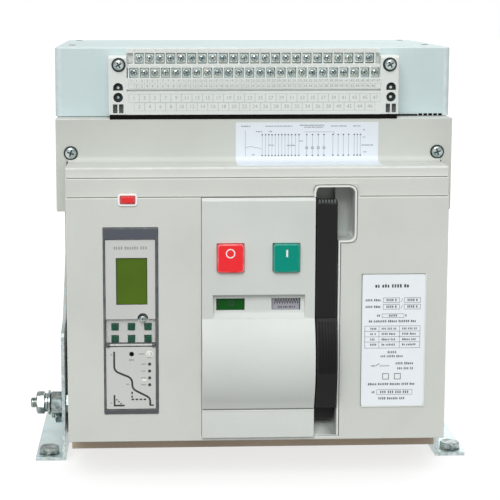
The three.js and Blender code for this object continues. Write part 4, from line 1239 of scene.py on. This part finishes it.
def make_handle():
    """Charging handle: vertical grip ribs over the bulge and a serrated top."""
    low, high = limits("charging_handle")
    bulge_low = limits("mechanism_panel")[0].y
    radius = 80.5
    centre_y, centre_z = bulge_low + 80, 119
    arc = [math.asin((z - centre_z) / radius) for z in (112, 158)]
    outline = []
    for r, ends in ((radius + 0.75, arc), (radius - 0.8, arc[::-1])):
        for i in range(13):
            angle = ends[0] + (ends[1] - ends[0]) * i / 12
            outline.append((centre_y - r * math.cos(angle), centre_z + r * math.sin(angle)))
    bm = bmesh.new()
    width, count = high.x - low.x, 6
    for i in range(count):
        x = low.x + width * (i + 1) / (count + 1)
        add_prism(bm, "x", outline, (x - 0.75, x + 0.75))
    # The teeth are grey on the black handle: a painted highlight on its serrated top.
    teeth = bmesh.new()
    for i in range(6):
        x = low.x + 2.6 + i * 2.8
        add_box(teeth, (x - 0.8, x + 0.8), (low.y + 13.1, low.y + 16.5), (high.z - 2.4, high.z + 0.5), 0.3)
    refined("charging_handle", "black", 0.9)
    to_piece("handle_ribs", bm, "grip", BODY_OF["charging_handle"], slot="black_moulding")
    to_piece("handle_teeth", teeth, "louvre", BODY_OF["charging_handle"], slot="black_moulding")
    # A black block in the lower part of the handle well, under the handle.
    boss = bmesh.new()
    well_low = limits("handle_well")[0]
    add_box(boss, (low.x + 0.4, high.x - 0.4), (10, 36), (well_low.z + 13.5, low.z + 8), 1.5)
    to_piece("handle_boss", boss, "black", slot="black_moulding")


# ---------------------------------------------------------------- trip unit


def make_trip_unit():
    for node, finish, width in (("trip_unit_housing", "bezel", 0.6), ("trip_unit_display_panel", "face", 0.3),
                                ("trip_unit_curve_panel", "face", 0.3), ("lcd_screen", "lcd", 0.2),
                                ("keypad_cover", "clear", 0.25), ("trip_reset_button", "rim", 0.4)):
        refined(node, finish, width)
    for i in range(1, 7):
        refined(f"trip_key_{i}", "key", 0.5)
    low, high = limits("keypad_cover_screw")
    x, z = middle_of(low, high)
    soot = bmesh.new()
    head = cross_screw((high.x - low.x) / 2, 2.2, (x, low.y + 2.2, z), (0, -1, 0), 0.7, 0, soot=soot)
    add_turned(head, [(0, 0), (2.9, 0), (2.9, 2), (1.4, 2.2), (1.4, 7), (0, 7)], (x, low.y + 2.2, z),
               (0, 1, 0), 20)
    to_piece("keypad_cover_screw_head", head, "chrome", node="keypad_cover_screw")
    # Dark cross-shaped floor in the screw's recess: painted shade.
    to_piece("keypad_screw_recess", soot, "soot", slot="zinc_fastener")
    make_crown()
    make_lid_hinge()
    make_curve_marks()


def make_crown():
    """Smooth slate band at the top of the bezel."""
    low, high = limits("trip_unit_housing")
    bm = bmesh.new()
    add_box(bm, (low.x + 0.6, high.x - 0.6), (low.y - 0.2, low.y + 1), (high.z - 10.3, high.z - 0.8), 0.25)
    to_piece("trip_unit_crown", bm, "crown", slot="bezel_moulding")
    # A dark frame round the display: painted shade along its edges.
    screen_low, screen_high = limits("lcd_screen")
    shadow = bmesh.new()
    add_frame(shadow, (screen_low.x - 0.1, screen_high.x + 0.1), (screen_low.z - 0.1, screen_high.z + 0.1),
              0.5, (screen_low.y - 0.5, screen_low.y + 0.1))
    to_piece("lcd_gasket", shadow, "dark", slot="black_moulding")
    face = limits("trip_unit_display_panel")[0].y
    title = bmesh.new()
    add_script(title, (screen_low.x - 2.2, screen_high.x + 1.4), screen_high.z + 9.5, 3.0,
               (face - INK_THICK, face + 0.05), 6)
    to_piece("trip_unit_title_bars", title, "ink_faint", slot="trip_face")


def make_lid_hinge():
    """Pin of the keypad cover's hinge with a knuckle at each end, dark lines along the hinge leaf that are
    painted shade, and a dark half ring in the recess round its screw, painted shade in the recess's upper
    half.
    """
    low, high = limits("keypad_cover")
    y, z = low.y + 1.1, 136.8
    pin, knuckles, ring = bmesh.new(), bmesh.new(), bmesh.new()
    add_turned(pin, [(0, 0), (0.75, 0), (0.75, high.x - low.x - 6), (0, high.x - low.x - 6)],
               (low.x + 3, y, z), (1, 0, 0), 12)
    for x in (low.x + 0.2, high.x - 2.8):
        add_turned(knuckles, [(0, 0), (1.9, 0), (2.1, 0.3), (2.1, 2.3), (1.9, 2.6), (0, 2.6)],
                   (x, y, z), (1, 0, 0), 18)
    leaf, seams = bmesh.new(), bmesh.new()
    add_box(leaf, (low.x - 0.2, high.x + 0.2), (2.0, 3.4), (135.0, 138.4), 0.2)
    # Dark lines above and below the hinge leaf: painted shade at the edge of the clear cover.
    for level in (138.1, 135.5):
        add_box(seams, (low.x + 1, high.x - 1), (1.85, 2.2), (level - 0.4, level + 0.4))
    to_piece("lid_hinge_leaf", leaf, "face", slot="trip_face")
    to_pieces("bezel_moulding", lid_hinge_seams=(seams, "bezel"), lid_hinge_pin=(pin, "face"),
              lid_hinge_knuckles=(knuckles, "bezel"))
    low, high = limits("keypad_cover_screw")
    x, z = middle_of(low, high)
    face = limits("trip_unit_display_panel")[0].y
    # A dark half ring in the upper half of the screw's recess: painted shade.
    arc = [(x + 4.3 * math.cos(a * math.pi / 14), z + 4.3 * math.sin(a * math.pi / 14)) for a in range(15)]
    add_stroke(ring, arc, 1.5, (face + 1.2, face + 2.8))
    to_piece("lid_screw_recess", ring, "dark", slot="black_moulding")


def make_curve_marks():
    """Time-current curve, its axes and dashes, the lamps and their short captions."""
    low = limits("trip_unit_curve_panel")[0]
    face = low.y
    y = (face - INK_THICK, face + 0.05)
    x0, z0 = low.x + 7.4, low.z + 3.4
    knee = [(0, 50.8), (0, 32.6), (16.4, 25.6), (16.4, 15.6), (32.8, 7.0), (32.8, 0)]
    curve = rounded_corners([(x0 + u, z0 + v) for u, v in knee], 7)
    bm = bmesh.new()
    add_stroke(bm, curve, 1.75, y)
    add_stroke(bm, [(x0 + 32.2, z0), (x0 + 36, z0)], 1.4, y)
    add_stroke(bm, [(x0, z0 + 10), (x0, z0), (x0 + 9.2, z0)], 1.6, y)
    for i in range(3):
        x, z = x0 + 2.1 + 1.9 * i, z0 + 5.4 - 1.8 * i
        add_prism(bm, "y", circle(x, z, 0.7, 10), y)
    for i in range(2):
        add_stroke(bm, [(x0 + 16.2, z0 + 13 - i * 3.6), (x0 + 16.2, z0 + 10.8 - i * 3.6)], 1.4, y)
    for i in range(4):
        left = x0 + 15.6 + i * 3.7
        add_stroke(bm, [(left, z0 + 5.6), (left + 2.4, z0 + 5.6)], 1.4, y)
    to_piece("curve_ink", bm, "ink", slot="trip_face")
    lamps, captions = bmesh.new(), bmesh.new()
    lamp_x = x0 + 32.4
    for i in range(4):
        z = z0 + 38.9 - i * 6.5
        add_turned(lamps, [(0, 0), (1.45, 0), (1.4, 0.35), (0.9, 0.6), (0, 0.65)],
                   (lamp_x, face + 0.05, z), (0, -1, 0), 18)
        add_script(captions, (lamp_x - 7.6, lamp_x - 3.2), z, 0.9, y, 3 + i)
    reset, port = limits("trip_reset_button"), (low.x + 23.5, 128.3)
    reset_z = middle_of(*reset)[1]
    for left, right, z, height, seed in (
            (lamp_x - 10, lamp_x - 4.4, reset_z, 0.9, 2), (lamp_x - 2, lamp_x + 2, reset_z - 3.6, 0.9, 4),
            (port[0] - 2.4, port[0] + 2.4, port[1] - 5.4, 1.1, 6), (x0 - 3.4, x0 - 1.4, z0 + 48, 0.9, 2),
            (x0 - 3.8, x0 - 2, z0 + 2.4, 0.9, 5), (x0 + 11, x0 + 13.6, z0 + 20, 0.9, 3)):
        add_script(captions, (left, right), z, height, y, seed)
    to_piece("lamp_dots", lamps, "ink", slot="black_moulding")
    to_piece("curve_captions", captions, "ink_soft", slot="trip_face")
    whites = bmesh.new()
    add_stroke(whites, circle(lamp_x, reset_z, 2.5, 20), 1.0, y, closed=True)
    oval = [(lamp_x - 5 + 2.4 * math.cos(a * math.pi / 8), z0 + 24 + 0.9 * math.sin(a * math.pi / 8))
            for a in range(16)]
    add_prism(whites, "y", oval, y)
    to_piece("curve_whites", whites, "ink_white", slot="trip_face")
    dark_port = bmesh.new()
    add_turned(dark_port, [(0, 0), (1.9, 0), (1.9, 2.2), (1.5, 2.3), (1.3, 0.9), (0, 0.9)],
               (port[0], face + 2.4, port[1]), (0, -1, 0), 20)
    to_piece("test_port_socket", dark_port, "seal", slot="black_moulding")


# ---------------------------------------------------------------- fasteners and feet


def make_feet():
    for side, sign in (("left", -1), ("right", 1)):
        refined("side_plate_" + side, "sheet", 0.5, reshape=mark_cut_edges)
        node = "foot_bolt_" + side
        low, high = limits(node)
        x, y = (low.x + high.x) / 2, (low.y + high.y) / 2
        flats = 17
        bm = bmesh.new()
        head_bottom = limits("side_plate_" + side)[0].z + 3.8
        add_hexagon(bm, (x, y, head_bottom), (0, 0, 1), flats, high.z - head_bottom)
        turn = Matrix.Rotation(math.radians(8 * sign), 4, "Z")
        bmesh.ops.rotate(bm, cent=(x, y, 0), matrix=turn.to_3x3(), verts=bm.verts)
        add_turned(bm, [(0, 0), (5, 0), (5, 3.6), (0, 3.6)], (x, y, low.z), (0, 0, 1), 20)
        to_piece(node + "_hex", bm, "zinc", node=node)
        washer = bmesh.new()
        add_turned(washer, [(5.4, 0), (10.4, 0), (10.5, 0.25), (10.2, 0.55), (5.4, 0.55), (5.4, 0)],
                   (x, y, head_bottom - 0.3), (0, 0, 1), 36)
        to_piece(f"foot_washer_{side}", washer, "zinc", slot="zinc_fastener")


def mark_cut_edges(bm):
    """Marks the sheared front and back edges of a bent sheet, which are duller than its faces."""
    layer = bm.faces.layers.float.new("edge")
    for face in bm.faces:
        if abs(face.normal.y) > 0.9:
            face[layer] = 1.0


def make_ground_terminal():
    low, high = limits("ground_bolt")
    y, z = (low.y + high.y) / 2, (low.z + high.z) / 2
    bolt = bmesh.new()
    inner_face = limits("side_plate_left")[1].x
    add_hexagon(bolt, (inner_face + 0.3, y, z), (1, 0, 0), 17, high.x - inner_face - 0.3)
    add_thread(bolt, (inner_face + 1, y, z), (-1, 0, 0), 5, inner_face + 1 - low.x)
    to_piece("ground_bolt_thread", bolt, "zinc", node="ground_bolt")
    for node, degrees in (("ground_nut_inner", 30), ("ground_nut_outer", 9)):
        start, end = limits(node)
        nut = bmesh.new()
        add_hexagon(nut, (start.x, y, z), (1, 0, 0), 19, end.x - start.x, 5.2, both_ends=True)
        turn = Matrix.Rotation(math.radians(degrees), 3, "X")
        bmesh.ops.rotate(nut, cent=(0, y, z), matrix=turn, verts=nut.verts)
        to_piece(node + "_hex", nut, "zinc", node=node)
    inner_start, outer_end = limits("ground_nut_inner")[0].x, limits("ground_nut_outer")[1].x
    washers = bmesh.new()
    for x, radius, thick in ((inner_start - 2.3, 12, 2.0), (outer_end + 0.15, 9.2, 2.2)):
        profile = [(5.3, 0), (radius - 0.3, 0), (radius, 0.3), (radius, thick - 0.3),
                   (radius - 0.3, thick), (5.3, thick), (5.3, 0)]
        add_turned(washers, profile, (x, y, z), (1, 0, 0), 40)
    to_piece("ground_washers", washers, "zinc", slot="zinc_fastener")
    make_side_bolt()


def make_side_bolt():
    """Hexagon bolt under the earth stud that holds the side plate to the base."""
    plate = limits("side_plate_left")[1].x - 3.5
    x, y, z = plate - 0.1, 112, 40
    bm = bmesh.new()
    add_turned(bm, [(0, 0), (8.6, 0), (8.8, 0.3), (8.6, 1.6), (0, 1.6)], (x, y, z), (-1, 0, 0), 32)
    add_hexagon(bm, (x - 1.6, y, z), (-1, 0, 0), 15, 7)
    add_thread(bm, (x - 8, y, z), (-1, 0, 0), 4.2, 4.4)
    to_piece("side_bolt", bm, "zinc", slot="zinc_fastener")


# ---------------------------------------------------------------- inside and behind


def make_spring():
    """Coil spring of the closing mechanism, drawn at one fixed length on the frame; on the breaker it
    shortens as the charging shaft draws its plunger down.
    """
    low, high = limits("closing_spring")
    x, y = (low.x + high.x) / 2, (low.y + high.y) / 2
    wire, turns, around = 1.7, 9, 10
    radius = (high.x - low.x) / 2 - wire
    bottom, top = low.z + wire, high.z - wire
    steps = turns * 24
    bm = bmesh.new()
    rings = []
    for i in range(steps + 1):
        angle = 2 * math.pi * i / 24
        level = bottom + (top - bottom) * i / steps
        centre = Vector((x + radius * math.cos(angle), y + radius * math.sin(angle), level))
        outward = Vector((math.cos(angle), math.sin(angle), 0))
        ring = []
        for k in range(around):
            turn = 2 * math.pi * k / around
            across = outward * math.cos(turn) + Vector((0, 0, math.sin(turn)))
            ring.append(bm.verts.new(centre + wire * across))
        rings.append(ring)
    for first, second in zip(rings, rings[1:]):
        for k in range(around):
            after = (k + 1) % around
            bm.faces.new((first[k], first[after], second[after], second[k]))
    bm.faces.new(rings[0])
    bm.faces.new(rings[-1][::-1])
    piece = to_piece("closing_spring_coil", bm, "steel", node="closing_spring")
    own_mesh(piece)


def make_base_ribs():
    """Stiffening ribs on the sides of the base, and the screws that hold its halves together."""
    low, high = limits("base_housing")
    base = cad_copy("base_housing")
    wall = max(vertex.co.y for vertex in base.verts if vertex.co.x > high.x - 0.5)
    base.free()
    bottom, top = limits("side_plate_left")[1].z + 6, limits("hood")[0].z - 6
    deep = (wall - 118, wall - 2)
    ribs, heads, soot = bmesh.new(), bmesh.new(), bmesh.new()
    seats = []
    for side, sign in ((low.x, -1), (high.x, 1)):
        x = sorted((side - sign * 0.2, side + sign * 1.6))
        for i in range(4):
            y = deep[0] + 1.6 + i * (deep[1] - deep[0] - 3.2) / 3
            add_box(ribs, x, (y - 1.6, y + 1.6), (bottom, top), 0.4)
        for z in (bottom, top):
            add_box(ribs, x, deep, (z - 1.6, z + 1.6), 0.4)
        seats += [((side, deep[0] + 20, z), (sign, 0, 0)) for z in (bottom + 14, top - 14)]
        seats += [((side, deep[1] - 20, z), (sign, 0, 0)) for z in (bottom + 14, top - 14)]
    for x in (-160, -70, 70, 160):
        seats += [((x, wall, z), (0, 1, 0)) for z in (60, 165, 305)]
    for seat, direction in seats:
        head = cross_screw(4.4, 2.2, seat, direction, 0.6, 30, 20, soot)
        merged(heads, head)
        head.free()
    to_piece("base_ribs", ribs, "base", slot=SLOT_OF["base_housing"])
    # Dark cross-shaped floors in the screw recesses: painted shade.
    to_pieces("zinc_fastener", base_screws=(heads, "chrome"), base_screw_recesses=(soot, "soot"))


def make_inside():
    plain = {
        "base_housing": ("base", 0.8), "bottom_tray": ("tray", 0.5), "handle_well": ("well", 0.4),
        "spring_plunger": ("steel", 0.4), "shunt_release": ("black", 0.6), "closing_coil": ("black", 0.6),
        "spring_motor": ("steel", 0.6), "auxiliary_switch": ("block", 0.5), "main_shaft": ("steel", 0.4),
        "charging_shaft": ("steel", 0.4),
    }
    for i in (1, 2, 3):
        plain[f"upper_terminal_{i}"] = ("copper", 0.6)
        plain[f"lower_terminal_{i}"] = ("copper", 0.5)
        plain[f"moving_contact_{i}"] = ("copper", 0.4)
        plain[f"drive_link_{i}"] = ("insulator", 0.4)
        plain[f"arc_chute_{i}"] = ("chute", 0.3)
    for node, (finish, width) in plain.items():
        refined(node, finish, width)


# ---------------------------------------------------------------- the breaker

make_camera()
make_world()
make_floor()
make_sun("key", (-0.18, -1, 0.9), 38, 1.9)
make_sun("back", (0.4, 1, 0.7), 40, 0.5)
make_finishes()
for make in (
    make_covers, make_slot_rim, make_hood_screws, make_gap_seal, make_fault_reset, make_terminal_block,
    make_rating_marks, make_diagram_label, make_buttons, make_flags, make_handle, make_trip_unit,
    make_feet, make_ground_terminal, make_spring, make_base_ribs, make_inside,
):
    make()
